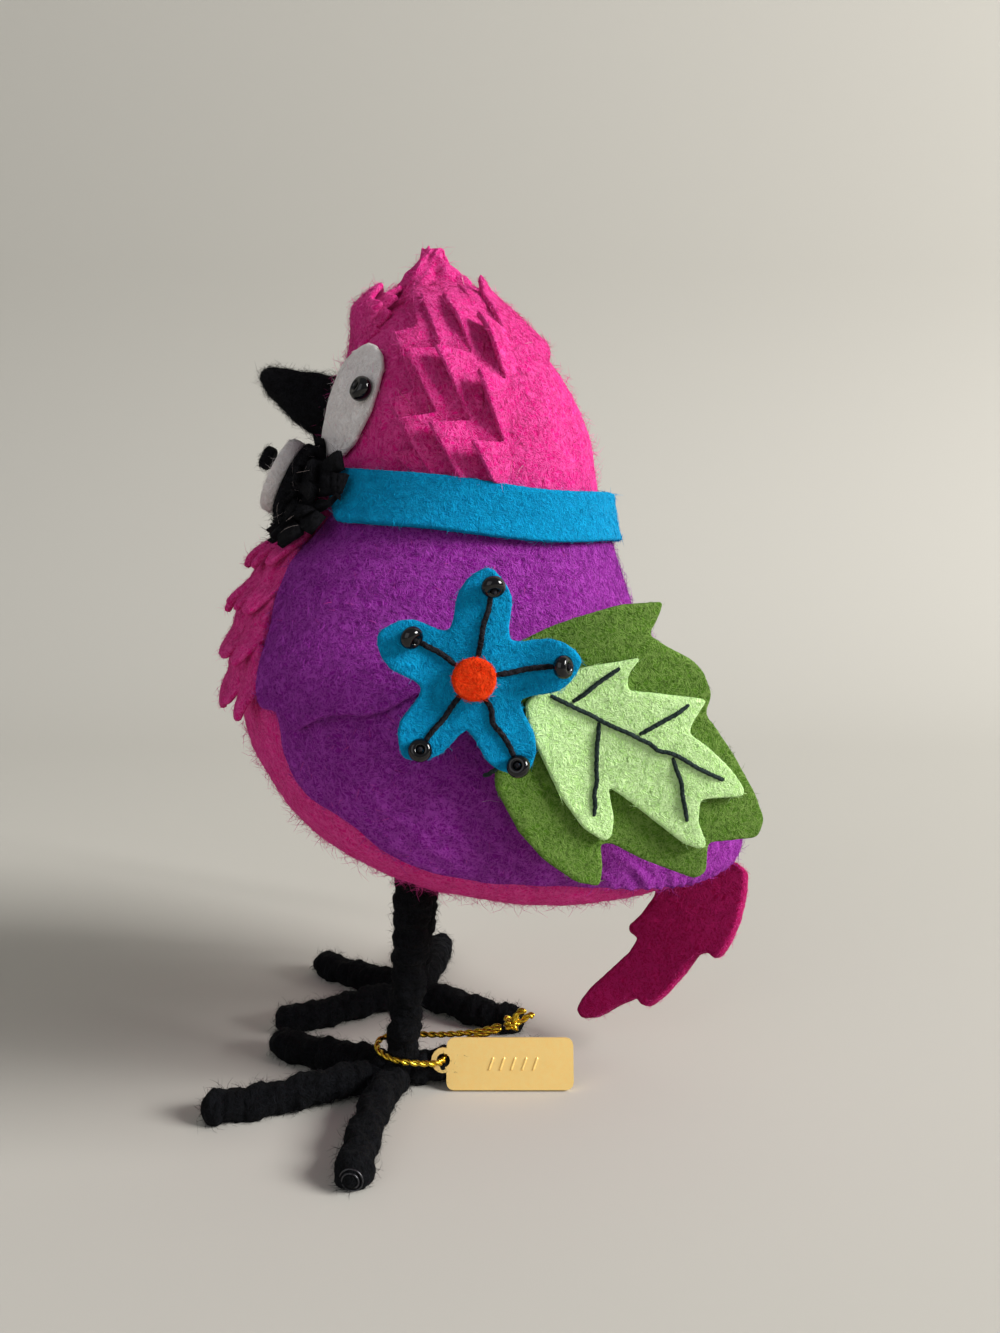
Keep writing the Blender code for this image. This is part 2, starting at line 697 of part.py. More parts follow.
def add_beak():
    sides = BEAK_SIDES
    corners, faces = [], []
    root_top, root_bottom = Vector((0.0, *BEAK_ROOT_TOP)), Vector((0.0, *BEAK_ROOT_BOTTOM))
    base_top, base_bottom = Vector((0.0, *BEAK_BASE_TOP)), Vector((0.0, *BEAK_BASE_BOTTOM))
    tip_top, tip_bottom = Vector((0.0, *BEAK_TIP_TOP)), Vector((0.0, *BEAK_TIP_BOTTOM))
    rings = [(root_top, root_bottom, BEAK_HALF_WIDTH * 0.7)]
    for k in range(BEAK_SECTIONS):
        share = k / (BEAK_SECTIONS - 1)
        swell = BEAK_SWELL * math.sin(math.pi * share)
        top = base_top.lerp(tip_top, share)
        bottom = base_bottom.lerp(tip_bottom, share) + Vector((0.0, -0.6, -0.8)) * swell
        half_width = BEAK_HALF_WIDTH + (BEAK_TIP_HALF_WIDTH - BEAK_HALF_WIDTH) * share + 0.5 * swell
        rings.append((top, bottom, half_width))
    nose = tip_top.lerp(tip_bottom, 0.5) + Vector((0.0, -BEAK_NOSE, 0.0))
    rings.append((nose.lerp(tip_top, 0.45), nose.lerp(tip_bottom, 0.45), BEAK_TIP_HALF_WIDTH * 0.5))
    for top, bottom, half_width in rings:
        for j in range(sides):
            turn = 2 * math.pi * j / sides
            middle = top.lerp(bottom, (1 - math.cos(turn)) / 2)
            corners.append(middle + Vector((half_width * math.sin(turn), 0.0, 0.0)))
    for k in range(len(rings) - 1):
        for j in range(sides):
            following = (j + 1) % sides
            faces.append((k * sides + j, k * sides + following,
                          (k + 1) * sides + following, (k + 1) * sides + j))
    faces.append(tuple(range(sides)))
    faces.append(tuple((len(rings) - 1) * sides + j for j in range(sides)))
    piece("beak", corners, faces, "black_felt")


def body_patch(name, angle, height, outline, lift, thickness, finish):
    """A round piece that lies on the body: outline gives its reach in each direction."""
    sides, rings = len(outline), 2
    centre = body_point(angle, height)
    across = (body_point(angle + 1.0, height) - body_point(angle - 1.0, height)).length / 2.0

    def place(share, number, rise):
        turn = 2 * math.pi * number / sides
        reach = outline[number] * share
        return over_body(angle + reach * math.cos(turn) / across, height + reach * math.sin(turn), rise)

    centre_normal = body_normal(centre)
    corners = [centre + centre_normal * lift, centre + centre_normal * (lift + thickness)]
    for rise in (lift, lift + thickness):
        for ring in range(1, rings + 1):
            corners += [place(ring / rings, number, rise) for number in range(sides)]
    faces = []
    for side in (0, 1):
        start = 2 + side * rings * sides
        faces += [(side, start + j, start + (j + 1) % sides) for j in range(sides)]
        for ring in range(rings - 1):
            here, beyond = start + ring * sides, start + (ring + 1) * sides
            faces += [(here + j, here + (j + 1) % sides, beyond + (j + 1) % sides, beyond + j)
                      for j in range(sides)]
    inner, outer = 2 + (rings - 1) * sides, 2 + (2 * rings - 1) * sides
    faces += [(inner + j, inner + (j + 1) % sides, outer + (j + 1) % sides, outer + j) for j in range(sides)]
    return piece(name, corners, faces, finish)


def add_eyes():
    height = COLLAR_HEIGHT + EYE_OVER_COLLAR
    for side in ("left", "right"):
        sign = side_sign(side)
        outline = []
        for j in range(EYE_PATCH_SIDES):
            turn = 2 * math.pi * j / EYE_PATCH_SIDES
            lean = turn - math.radians(90.0 - sign * EYE_PATCH_LEAN)
            outline.append(EYE_PATCH_LONG * EYE_PATCH_SHORT / math.hypot(
                EYE_PATCH_SHORT * math.cos(lean), EYE_PATCH_LONG * math.sin(lean)))
        body_patch("eye_patch_" + side, sign * EYE_ANGLE, height, outline,
                   SKIN_GAP, EYE_PATCH_FELT, "white_felt")
        root = body_point(sign * EYE_BEAD_ANGLE, height + EYE_BEAD_RISE)
        out = body_normal(root)
        centre = root + out * (SKIN_GAP + EYE_PATCH_FELT + GAP + EYE_BEAD_HALF_DEPTH)
        dome("eye_" + side, centre, out, EYE_BEAD_RADIUS, EYE_BEAD_HALF_DEPTH, 10, 5, "black_glass")


def add_rosette():
    outline = [PUFF_RADIUS - (PUFF_NOTCH if j % 2 else 0.0) for j in range(2 * PUFF_POINTS)]
    puff = body_patch("rosette_puff", 0.0, puff_height(), outline, SKIN_GAP, PUFF_DEPTH, "black_felt")
    tilt = math.radians(ROSETTE_TILT)
    out = Vector((0.0, -math.cos(tilt), math.sin(tilt)))
    up = Vector((0.0, math.sin(tilt), math.cos(tilt)))
    across = Vector((1.0, 0.0, 0.0))
    root = body_point(0.0, puff_height()) + up * ROSETTE_RISE
    front = max((corner.co / METRES - root).dot(out) for corner in puff.data.vertices)

    def round_plate(name, rise, aside, radius, thickness, sides, finish):
        def place(first, second, depth):
            return root + across * first + up * (second + aside) + out * (rise + depth)

        rim = [(radius * math.cos(2 * math.pi * j / sides), radius * math.sin(2 * math.pi * j / sides))
               for j in range(sides)]
        plate(name, rim, thickness, place, finish)

    round_plate("rosette_disc", front + GAP, 0.0, ROSETTE_RADIUS, ROSETTE_THICKNESS, 24, "white_felt")
    round_plate("rosette_button", front + 2 * GAP + ROSETTE_THICKNESS, BUTTON_RISE, BUTTON_RADIUS,
                BUTTON_THICKNESS, 14, "black_felt")


def flat_side(side, out, front, turn):
    """A placing function for a flat piece at the bird's side: along, height and depth."""
    sign = side_sign(side)
    angle = math.radians(turn)

    def place(along, height, depth):
        forward = front + along * math.cos(angle) + depth * math.sin(angle)
        return Vector((sign * (out - along * math.sin(angle) + depth * math.cos(angle)), forward, height))

    return place


def flower_outline():
    """Five rounded petals with narrow notches between them."""
    points = []
    for petal in range(FLOWER_PETALS):
        middle = math.radians(90.0 + FLOWER_SPIN + 360.0 * petal / FLOWER_PETALS)
        half = math.pi / FLOWER_PETALS
        points.append((FLOWER_NOTCH * math.cos(middle - half), FLOWER_NOTCH * math.sin(middle - half)))
        for share, width in ((0.62, -0.93), (0.8, -0.94), (0.94, -0.58), (1.0, 0.0),
                             (0.94, 0.58), (0.8, 0.94), (0.62, 0.93)):
            reach, side = PETAL_LENGTH * share, PETAL_HALF_WIDTH * width
            points.append((reach * math.cos(middle) - side * math.sin(middle),
                           reach * math.sin(middle) + side * math.cos(middle)))
    return points


def add_flower(side):
    widest = max(row[3] for row in BODY_SLICES)
    leaf_out = widest + SKIN_GAP + LAYER + FELT + LEAF_CLEARANCE
    dark = flat_side(side, leaf_out, LEAF_FRONT, LEAF_TURN)
    light = flat_side(side, leaf_out + LAYER, LEAF_FRONT, LEAF_TURN)
    plate("dark_leaf_" + side, DARK_LEAF, FELT, dark, "dark_green_felt")
    plate("light_leaf_" + side, LIGHT_LEAF, FELT, light, "light_green_felt")
    flower = flat_side(side, leaf_out + 2 * LAYER, FLOWER_ALONG, FLOWER_TURN)

    def on_flower(first, second, depth):
        return flower(first, FLOWER_HEIGHT + second, depth)

    plate("flower_" + side, flower_outline(), FELT, on_flower, "turquoise_felt")
    turns = [2 * math.pi * j / DOT_SIDES for j in range(DOT_SIDES)]
    rim = [(DOT_RADIUS * math.cos(turn), DOT_RADIUS * math.sin(turn)) for turn in turns]
    plate("flower_dot_" + side, rim, DOT_THICKNESS,
          lambda first, second, depth: on_flower(first, second, depth + LAYER), "orange_felt")
    out = on_flower(0.0, 0.0, 1.0) - on_flower(0.0, 0.0, 0.0)
    for number in range(FLOWER_PETALS):
        middle = math.radians(90.0 + FLOWER_SPIN + 360.0 * number / FLOWER_PETALS)
        centre = on_flower(BEAD_DISTANCE * math.cos(middle), BEAD_DISTANCE * math.sin(middle),
                           LAYER + BEAD_RADIUS)
        dome(f"bead_{side}_{number + 1}", centre, out, BEAD_RADIUS, BEAD_RADIUS, 7, 4, "black_glass")


def add_tail():
    slope, twist = math.radians(TAIL_SLOPE), math.radians(TAIL_TWIST)
    down = Vector((0.0, -math.cos(slope), -math.sin(slope)))
    rearward = Vector((0.0, math.sin(slope), -math.cos(slope)))
    across = rearward * math.cos(twist) + Vector((math.sin(twist), 0.0, 0.0))
    face = down.cross(across).normalized()
    root = Vector(TAIL_ROOT)

    def place(along, aside, depth):
        return root + down * along + across * (aside / math.cos(twist)) + face * (depth - TAIL_THICKNESS / 2)

    tail = plate("tail", TAIL_OUTLINE, TAIL_THICKNESS, place, "pink_felt")
    combine(tail, wool_shape("tail_seat", TAIL_SEAT), "DIFFERENCE")


def tag_place(along, height, depth):
    """A place on the tag, which leans back towards the left leg."""
    lean = math.radians(TAG_LEAN)
    foot = Vector(TAG_FOOT)
    up = Vector((-math.sin(lean), 0.0, math.cos(lean)))
    out = Vector((math.cos(lean), 0.0, math.sin(lean)))
    return foot + Vector((0.0, along, 0.0)) + up * height - out * depth


def arc(centre, radius, start, end, steps):
    return [(centre[0] + radius * math.cos(math.radians(start + (end - start) * k / steps)),
             centre[1] + radius * math.sin(math.radians(start + (end - start) * k / steps)))
            for k in range(steps + 1)]


def add_tag():
    low, high = TAG_CORNER, TAG_HEIGHT - TAG_CORNER
    near, far = TAG_CORNER, TAG_LENGTH - TAG_CORNER
    meet = math.degrees(math.acos(TAG_EAR_OUT / TAG_EAR_RADIUS))
    outline = arc((far, low), TAG_CORNER, -90, 0, 3) + arc((far, high), TAG_CORNER, 0, 90, 3)
    outline += arc((near, high), TAG_CORNER, 90, 180, 3)
    outline += arc((-TAG_EAR_OUT, TAG_EAR_HEIGHT), TAG_EAR_RADIUS, meet, 360 - meet, 10)
    outline += arc((near, low), TAG_CORNER, 180, 270, 3)
    tag = plate("tag", outline, TAG_THICKNESS, tag_place, "gold_tag")
    hole = plate("hole", arc((-TAG_EAR_OUT, TAG_EAR_HEIGHT), TAG_HOLE_RADIUS, 0, 330, 11), 3 * TAG_THICKNESS,
                 lambda first, second, depth: tag_place(first, second, depth - TAG_THICKNESS), "gold_tag")
    combine(tag, hole, "DIFFERENCE")


def smooth_route(route, samples):
    """Points on a smooth curve that passes through every point of a route."""
    points = [Vector(point) for point in route]
    points = [points[0] * 2 - points[1]] + points + [points[-1] * 2 - points[-2]]
    spans = len(points) - 3
    found = []
    for k in range(samples):
        place = spans * k / (samples - 1)
        start = min(int(place), spans - 1)
        t = place - start
        before, here, there, after = points[start:start + 4]
        found.append(0.5 * (2 * here + (there - before) * t
                            + (2 * before - 5 * here + 4 * there - after) * t ** 2
                            + (3 * here - before - 3 * there + after) * t ** 3))
    return found


def add_tie():
    curve = bpy.data.curves.new("tag_cord", "CURVE")
    curve.dimensions = "3D"
    curve.bevel_depth = CORD_RADIUS * METRES
    curve.bevel_resolution = 2
    curve.use_fill_caps = True
    points = smooth_route(CORD_ROUTE, CORD_SAMPLES)
    line = curve.splines.new("POLY")
    line.points.add(len(points) - 1)
    for spot, point in zip(line.points, points):
        spot.co = (*(point * METRES), 1.0)
    cord = bpy.data.objects.new("tag_cord", curve)
    bpy.context.scene.collection.objects.link(cord)
    curve.materials.append(finish_material("gold_thread"))
    centre = Vector(KNOT_CENTRE)
    knot = dome("cord_knot", centre, (0.0, 0.0, 1.0), KNOT_RADIUS, KNOT_RADIUS, 10, 6, "gold_thread")
    for number, end in enumerate(KNOT_ENDS):
        bend = centre.lerp(Vector(end), 0.6) + Vector((0.0, -0.3, 0.2))
        tail = rounded_rod(f"knot_end_{number}", (centre, bend, end), (CORD_RADIUS,) * 3, 8, "gold_thread")
        combine(knot, tail, "UNION")


def stand_at_origin():
    """Hang every piece on an empty and move it, so the origin is under the middle of the box."""
    tie_pieces = ("tag", "tag_cord", "cord_knot")
    bpy.context.view_layer.update()
    root = bpy.data.objects.new("root", None)
    bpy.context.scene.collection.objects.link(root)
    spots = [thing.matrix_world @ Vector(corner)
             for thing in bpy.data.objects
             if thing.type == "MESH" and not thing.hide_render and thing.name not in tie_pieces
             for corner in thing.bound_box]
    middle = [(min(spot[k] for spot in spots) + max(spot[k] for spot in spots)) / 2 for k in (0, 1)]
    for thing in bpy.data.objects:
        if thing is not root:
            thing.parent = root
    root.location = (-middle[0], -middle[1], 0.0)


clear_scene()
add_body()
add_cover()
add_cape()
add_breast_rows()
add_head_bands()
add_crest()
add_collar()
add_beak()
add_eyes()
add_rosette()
for bird_side in ("left", "right"):
    add_leg(bird_side)
    add_flower(bird_side)
add_tail()
add_tag()
add_tie()
stand_at_origin()
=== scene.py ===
"""A felt bird ornament on two legs of wire wrapped in black yarn, dressed over its solid model.

Drawn sizes are in millimetres from the middle between the feet, with the bird facing -Y.
Angles are in degrees. Round the body, 0 is the breast and 90 the bird's left side.
"""

import math

import bpy
import numpy as np
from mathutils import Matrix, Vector, geometry, kdtree, noise


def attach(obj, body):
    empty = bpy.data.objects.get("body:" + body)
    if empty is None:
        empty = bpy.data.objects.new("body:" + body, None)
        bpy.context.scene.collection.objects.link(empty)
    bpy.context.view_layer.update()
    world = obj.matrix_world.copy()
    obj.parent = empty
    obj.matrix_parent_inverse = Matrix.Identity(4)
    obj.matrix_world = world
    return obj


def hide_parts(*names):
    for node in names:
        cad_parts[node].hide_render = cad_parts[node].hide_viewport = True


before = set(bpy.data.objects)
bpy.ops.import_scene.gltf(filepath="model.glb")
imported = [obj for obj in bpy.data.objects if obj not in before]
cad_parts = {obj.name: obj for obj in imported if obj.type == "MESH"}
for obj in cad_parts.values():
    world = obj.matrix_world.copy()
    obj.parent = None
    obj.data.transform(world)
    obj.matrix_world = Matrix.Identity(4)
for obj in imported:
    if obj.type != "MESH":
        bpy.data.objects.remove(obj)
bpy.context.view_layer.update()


# The camera stands close to the bird's left side, level with its neck, and looks a little
# down on it, so the near foot is seen from above and the underside of the belly is not.
lens = bpy.data.cameras.new("camera")
lens.sensor_width = 36.0
lens.lens = 28.25
lens.clip_start = 0.01
camera = bpy.data.objects.new("camera", lens)
camera.location = (0.1926, 0.0016, 0.1053)
camera.rotation_euler = (math.radians(81.0), 0.0, math.radians(90.0))
bpy.context.scene.collection.objects.link(camera)
bpy.context.scene.camera = camera


# The tie is a thin gold thread, two plies twisted together, that runs round the left leg
# and through the tag's ear. Its ends meet in a small knot behind the tag and stand up.
FEET = np.array((0.0, -0.01668, 0.0))
TIE_ROUTE = (
    (12.1, 18.5, 9.6), (12.0, 14.0, 8.3), (11.6, 7.5, 7.5), (11.3, 1.0, 7.4), (13.2, -3.4, 7.6),
    (16.6, -3.8, 7.4), (19.4, -1.0, 7.0), (19.6, 3.0, 6.4), (18.8, 6.3, 5.8), (17.5, 7.7, 5.4),
    (16.2, 8.0, 5.05), (15.1, 8.4, 5.5), (14.2, 9.9, 6.7), (13.3, 13.0, 7.7), (13.1, 16.6, 8.8),
    (12.9, 18.6, 9.4),
)
PLY_RADIUS, PLY_OFFSET, PLY_STEP = 0.36, 0.24, 0.25
TWIST_PITCH = 3.4
THREAD_STEP, THREAD_SIDES = 0.3, 8
KNOT = np.array((12.2, 20.4, 9.9))
KNOT_SIZE = 0.8
KNOT_LOOP = ((0.9, -1.4, -0.5), (1.3, 0.4, 0.6), (0.0, 1.3, 1.1), (-1.2, 0.3, 0.2), (-0.6, -1.1, -0.8),
             (0.8, -0.9, 0.9), (0.9, 0.8, -0.7), (-0.7, 0.9, -0.9), (-1.0, -0.8, 0.8), (0.2, -1.2, 1.0))
KNOT_ENDS = (((0.4, 0.2, 0.4), (0.9, 0.5, 1.5), (0.6, 1.5, 2.8), (0.9, 2.7, 3.0)),
             ((0.2, 0.6, 0.2), (-0.1, 2.0, 0.6), (-0.3, 3.3, 1.7), (0.1, 4.1, 1.4)))


def metres(points):
    """Drawn points in millimetres as places in the model's frame, in metres."""
    return np.asarray(points, float) * 0.001 + FEET


def linear(red, green, blue):
    """A colour as a screen shows it, from 0 to 255, as a shader wants it."""
    parts = [value / 255.0 for value in (red, green, blue)]
    return tuple(part / 12.92 if part < 0.04 else ((part + 0.055) / 1.055) ** 2.4 for part in parts) + (1.0,)


def node(tree, kind, feeds=(), **settings):
    """A node with its settings, and with its inputs set or linked."""
    made = tree.nodes.new(kind)
    for key, value in settings.items():
        setattr(made, key, value)
    for socket, value in dict(feeds).items():
        if isinstance(value, bpy.types.NodeSocket):
            tree.links.new(value, made.inputs[socket])
        else:
            made.inputs[socket].default_value = value
    return made


def new_material(name):
    material = bpy.data.materials.new(name)
    material.use_nodes = True
    return material, material.node_tree, material.node_tree.nodes["Principled BSDF"]


def cloudy(tree, scale, detail):
    """A noise texture that stays with the piece."""
    place = node(tree, "ShaderNodeTexCoord").outputs["Object"]
    return node(tree, "ShaderNodeTexNoise", {"Vector": place, "Scale": scale, "Detail": detail})


def metal(name, colour, worn, roughness, grain, depth):
    """Thin gold: a little uneven in colour and gloss, with a fine grain."""
    material, tree, shader = new_material(name)
    cloud = cloudy(tree, grain * 0.2, 3.0)
    fine = cloudy(tree, grain, 4.0)
    tint = node(tree, "ShaderNodeMix", {0: cloud.outputs["Fac"], 6: worn, 7: colour}, data_type="RGBA")
    gloss = node(tree, "ShaderNodeMapRange", {0: fine.outputs["Fac"], 1: 0.3, 2: 0.7,
                                              3: roughness - 0.06, 4: roughness + 0.1})
    bump = node(tree, "ShaderNodeBump", {"Height": fine.outputs["Fac"], "Strength": 0.4, "Distance": depth})
    tree.links.new(tint.outputs[2], shader.inputs["Base Color"])
    tree.links.new(gloss.outputs[0], shader.inputs["Roughness"])
    tree.links.new(bump.outputs[0], shader.inputs["Normal"])
    shader.inputs["Metallic"].default_value = 1.0
    return material


def triangles_of(mesh):
    """The corners of a mesh's triangles, as drawn points: one row of three points each."""
    mesh.calc_loop_triangles()
    corners = np.empty(len(mesh.loop_triangles) * 3, int)
    mesh.loop_triangles.foreach_get("vertices", corners)
    places = np.empty(len(mesh.vertices) * 3)
    mesh.vertices.foreach_get("co", places)
    return (places.reshape(-1, 3)[corners.reshape(-1, 3)] - FEET) * 1000.0


def enclosed_volume(mesh):
    """Below zero where a closed mesh's faces are turned inwards."""
    a, b, c = triangles_of(mesh).transpose(1, 0, 2)
    return float(np.einsum("ij,ij->", a, np.cross(b, c)))


def make_piece(name, points, faces, material, slot, *nodes):
    """One mesh from drawn points, which rides on the bird and stands for these nodes."""
    mesh = bpy.data.meshes.new(name)
    mesh.from_pydata(metres(points).tolist(), [], faces)
    if enclosed_volume(mesh) < 0.0:
        mesh.flip_normals()
    mesh.shade_smooth()
    mesh.materials.append(material)
    piece = bpy.data.objects.new(name, mesh)
    bpy.context.scene.collection.objects.link(piece)
    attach(piece, "root")
    if nodes:
        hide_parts(*nodes)
    return piece


def follow(route, step):
    """Even points on a smooth curve through a route, with a frame that doesn't twist."""
    route = np.asarray(route, float)
    ends = (2 * route[0] - route[1], 2 * route[-1] - route[-2])
    route = np.vstack((ends[0], route, ends[1]))
    curve = []
    for before, here, there, after in zip(route, route[1:], route[2:], route[3:]):
        t = np.linspace(0.0, 1.0, 24, endpoint=False)[:, None]
        square = 2 * before - 5 * here + 4 * there - after
        cube = 3 * here - before - 3 * there + after
        curve.append(0.5 * (2 * here + (there - before) * t + square * t ** 2 + cube * t ** 3))
    curve = np.vstack(curve + [route[-2]])
    reach = np.concatenate(([0.0], np.cumsum(np.linalg.norm(np.diff(curve, axis=0), axis=1))))
    count = max(4, round(reach[-1] / step) + 1)
    way = np.linspace(0.0, reach[-1], count)
    centres = np.column_stack([np.interp(way, reach, curve[:, k]) for k in range(3)])
    ahead = np.gradient(centres, axis=0)
    ahead /= np.linalg.norm(ahead, axis=1)[:, None]
    side = np.cross(ahead[0], (0.0, 0.3, 1.0))
    sides = []
    for direction in ahead:
        side = side - direction * side.dot(direction)
        side /= np.linalg.norm(side)
        sides.append(side)
    sides = np.array(sides)
    return way, centres, ahead, sides, np.cross(ahead, sides)


def full_turn(count):
    """Angles at even steps once round, in radians."""
    return np.linspace(0.0, 2 * np.pi, count, endpoint=False)


def tube(route, step, around, radius):
    """A closed tube: radius gives its size from the way along and the turn round it."""
    way, centres, ahead, sides, ups = follow(route, step)
    turn = full_turn(around)
    size = radius(way[:, None], turn[None, :], way[-1]) + np.zeros((len(way), around))
    ring = sides[:, None] * np.cos(turn)[None, :, None] + ups[:, None] * np.sin(turn)[None, :, None]
    points = (centres[:, None] + ring * size[..., None]).reshape(-1, 3)
    points = np.vstack((points, centres[0], centres[-1]))
    count = len(way)
    faces = []
    for j in range(around):
        k = (j + 1) % around
        faces += [(r * around + j, r * around + k, (r + 1) * around + k, (r + 1) * around + j)
                  for r in range(count - 1)]
        faces += [(count * around, k, j), (count * around + 1, (count - 1) * around + j,
                                           (count - 1) * around + k)]
    return points, faces


def round_ends(way, full, size):
    """How a tube's radius falls off over a round end at both ends."""
    near = np.clip(np.minimum(way, full - way) / size, 0.02, 1.0)
    return size * np.sqrt(1.0 - (1.0 - near) ** 2)


def strand(route, size, step=THREAD_STEP):
    """A thin round thread or wire with round ends."""
    return tube(route, step, THREAD_SIDES, lambda way, turn, full: round_ends(way, full, size))


def join(shapes):
    """Several shapes as one list of points and one of faces."""
    points, faces, start = [], [], 0
    for some_points, some_faces in shapes:
        points.append(some_points)
        faces += [tuple(corner + start for corner in face) for face in some_faces]
        start += len(some_points)
    return np.vstack(points), faces


def twisted(route):
    """The two plies of the gold thread along a route."""
    way, centres, ahead, sides, ups = follow(route, PLY_STEP)
    turn = 2 * np.pi * way / TWIST_PITCH
    offset = (sides * np.cos(turn)[:, None] + ups * np.sin(turn)[:, None]) * PLY_OFFSET
    return [strand(centres + offset * sign, PLY_RADIUS, PLY_STEP) for sign in (1, -1)]


gold_thread = metal("gold_thread", linear(226, 196, 66), linear(150, 112, 16), roughness=0.26, grain=2600.0,
                    depth=0.00005)
gold_tag = metal("gold_tag", linear(255, 230, 158), linear(255, 218, 138), roughness=0.6, grain=5200.0,
                 depth=0.00002)
tie = make_piece("gold_tie", *join(twisted(TIE_ROUTE)), gold_thread, "gold_thread", "tag_cord")
knot = make_piece("tie_knot", *join(twisted(KNOT + KNOT_SIZE * np.array(KNOT_LOOP))
                                   + [ply for end in KNOT_ENDS for ply in twisted(KNOT + np.array(end))]),
                  gold_thread, "gold_thread", "cord_knot")
tie_path = metres(follow(TIE_ROUTE, 1.2)[1])


# The tag is a small plate of pale gold with round corners and an ear that holds the tie.
# A row of shallow slanting strokes is pressed up along its middle.
TAG_FOOT = np.array((18.3, 8.6, 0.35))
TAG_LEAN = math.radians(20.0)
STROKE_STARTS = (7.6, 9.6, 11.6, 13.6, 15.6)
STROKE_FOOT, STROKE_SLANT, STROKE_HEIGHT = 3.3, 0.9, 2.4
STROKE_SUNK, STROKE_RADIUS = 0.08, 0.24


def on_tag(along, height, out):
    up = np.array((-math.sin(TAG_LEAN), 0.0, math.cos(TAG_LEAN)))
    face = np.array((math.cos(TAG_LEAN), 0.0, math.sin(TAG_LEAN)))
    return TAG_FOOT + np.array((0.0, along, 0.0)) + up * height + face * out


strokes = []
for start in STROKE_STARTS:
    ends = [on_tag(start + STROKE_SLANT * share, STROKE_FOOT + STROKE_HEIGHT * share, -STROKE_SUNK)
            for share in (0.0, 0.5, 1.0)]
    strokes.append(tube(ends, 0.2, 10, lambda way, turn, full: round_ends(way, full, STROKE_RADIUS)))
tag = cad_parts["tag"]
tag.data.materials.clear()
tag.data.materials.append(gold_tag)
make_piece("tag_strokes", *join(strokes), gold_tag, "gold_tag")


# The body is one ball of pink wool, felted hard with needles over a light core. It is the
# head, the breast and the belly, and loose fibres stand off it.
WOOL_SLICES = np.array((
    (36.9, 7.0, 59.8, 20.8, 0.32), (39.5, -0.5, 62.4, 25.0, 0.40), (42.6, -7.0, 63.0, 28.5, 0.45),
    (48.0, -15.5, 60.2, 33.0, 0.42), (55.0, -22.2, 56.3, 35.6, 0.36), (64.0, -27.0, 51.3, 36.6, 0.28),
    (74.0, -29.0, 46.4, 35.6, 0.20), (84.0, -28.0, 42.0, 32.6, 0.12), (94.0, -23.6, 38.4, 28.4, 0.06),
    (103.0, -17.0, 36.0, 25.2, 0.02), (112.0, -13.0, 35.2, 24.0, 0.00), (121.0, -12.2, 32.6, 22.8, 0.00),
    (129.0, -9.0, 27.4, 19.4, 0.00), (136.0, -3.8, 20.2, 13.6, 0.00),
))
CROWN, KEEL = 5.2, 4.4
WOOL_RINGS, WOOL_SIDES = 130, 230
WOOL_LUMPS = ((0.35, 7.0, 0.0), (0.16, 2.2, 5.0))
BODY_AXIS = np.array((0.0, 12.0, 0.0))
SHORT_FIBRE = ((0.0, 1.0), (0.5, 0.95), (1.0, 0.25))
LONG_FIBRE = ((0.0, 1.0), (0.25, 1.0), (0.5, 0.95), (0.75, 0.8), (1.0, 0.25))
PINK = dict(colour=(228, 26, 134), light=(250, 112, 188), dark=(160, 4, 76))


def smooth_read(column, where):
    """A smooth curve through the slices, without overshoot, read at many heights."""
    places, values = WOOL_SLICES[:, 0], WOOL_SLICES[:, column]
    slopes = np.diff(values) / np.diff(places)
    before, after = slopes[:-1], slopes[1:]
    same_way = before * after > 0.0
    middle = np.where(same_way, 2 * before * after / np.where(same_way, before + after, 1.0), 0.0)
    tangents = np.concatenate((slopes[:1], middle, slopes[-1:]))
    where = np.clip(where, places[0], places[-1])
    low = np.clip(np.searchsorted(places, where) - 1, 0, len(places) - 2)
    span = places[low + 1] - places[low]
    t = (where - places[low]) / span
    return ((2 * t ** 3 - 3 * t ** 2 + 1) * values[low] + (t ** 3 - 2 * t ** 2 + t) * span * tangents[low]
            + (-2 * t ** 3 + 3 * t ** 2) * values[low + 1] + (t ** 3 - t ** 2) * span * tangents[low + 1])


def wool_slice(height):
    front, back = smooth_read(1, height), smooth_read(2, height)
    return (front + back) / 2, (back - front) / 2, smooth_read(3, height), smooth_read(4, height)


def fullness(height):
    above = np.maximum(0.0, height - WOOL_SLICES[-1, 0]) / CROWN
    below = np.maximum(0.0, WOOL_SLICES[0, 0] - height) / KEEL
    return 1.0 - above - below


def wool_field(points):
    """Below zero inside the wool and above zero outside it."""
    centre, half_length, half_width, narrowing = wool_slice(points[:, 2])
    along = np.clip((centre - points[:, 1]) / half_length, -1.2, 1.2)
    return (points[:, 0] / (half_width * (1 + narrowing * along))) ** 2 + along ** 2 - fullness(points[:, 2])


def wool_normal(points):
    climb = np.column_stack([wool_field(points + axis * 0.05) - wool_field(points - axis * 0.05)
                             for axis in np.eye(3)])
    return climb / np.linalg.norm(climb, axis=1)[:, None]


def on_wool(angle, height, lift):
    """Points on the wool, or a lift above it, from the angle round it and the height."""
    angle, height = np.radians(np.asarray(angle, float)), np.asarray(height, float)
    centre, half_length, half_width, narrowing = wool_slice(height)
    spread = np.sqrt(np.maximum(0.0, fullness(height)))
    across = half_width * np.sin(angle) * (1 + narrowing * spread * np.cos(angle)) * spread
    points = np.column_stack((across, centre - half_length * spread * np.cos(angle), height))
    return points + wool_normal(points) * np.asarray(lift, float).reshape(-1, 1)


def lumps(points, size, seed=0.0):
    """Soft unevenness between about -1 and 1, in lumps of one size."""
    shift = Vector((seed, seed * 0.7, seed * 1.3))
    return np.array([noise.noise(Vector(point) / size + shift) for point in points])


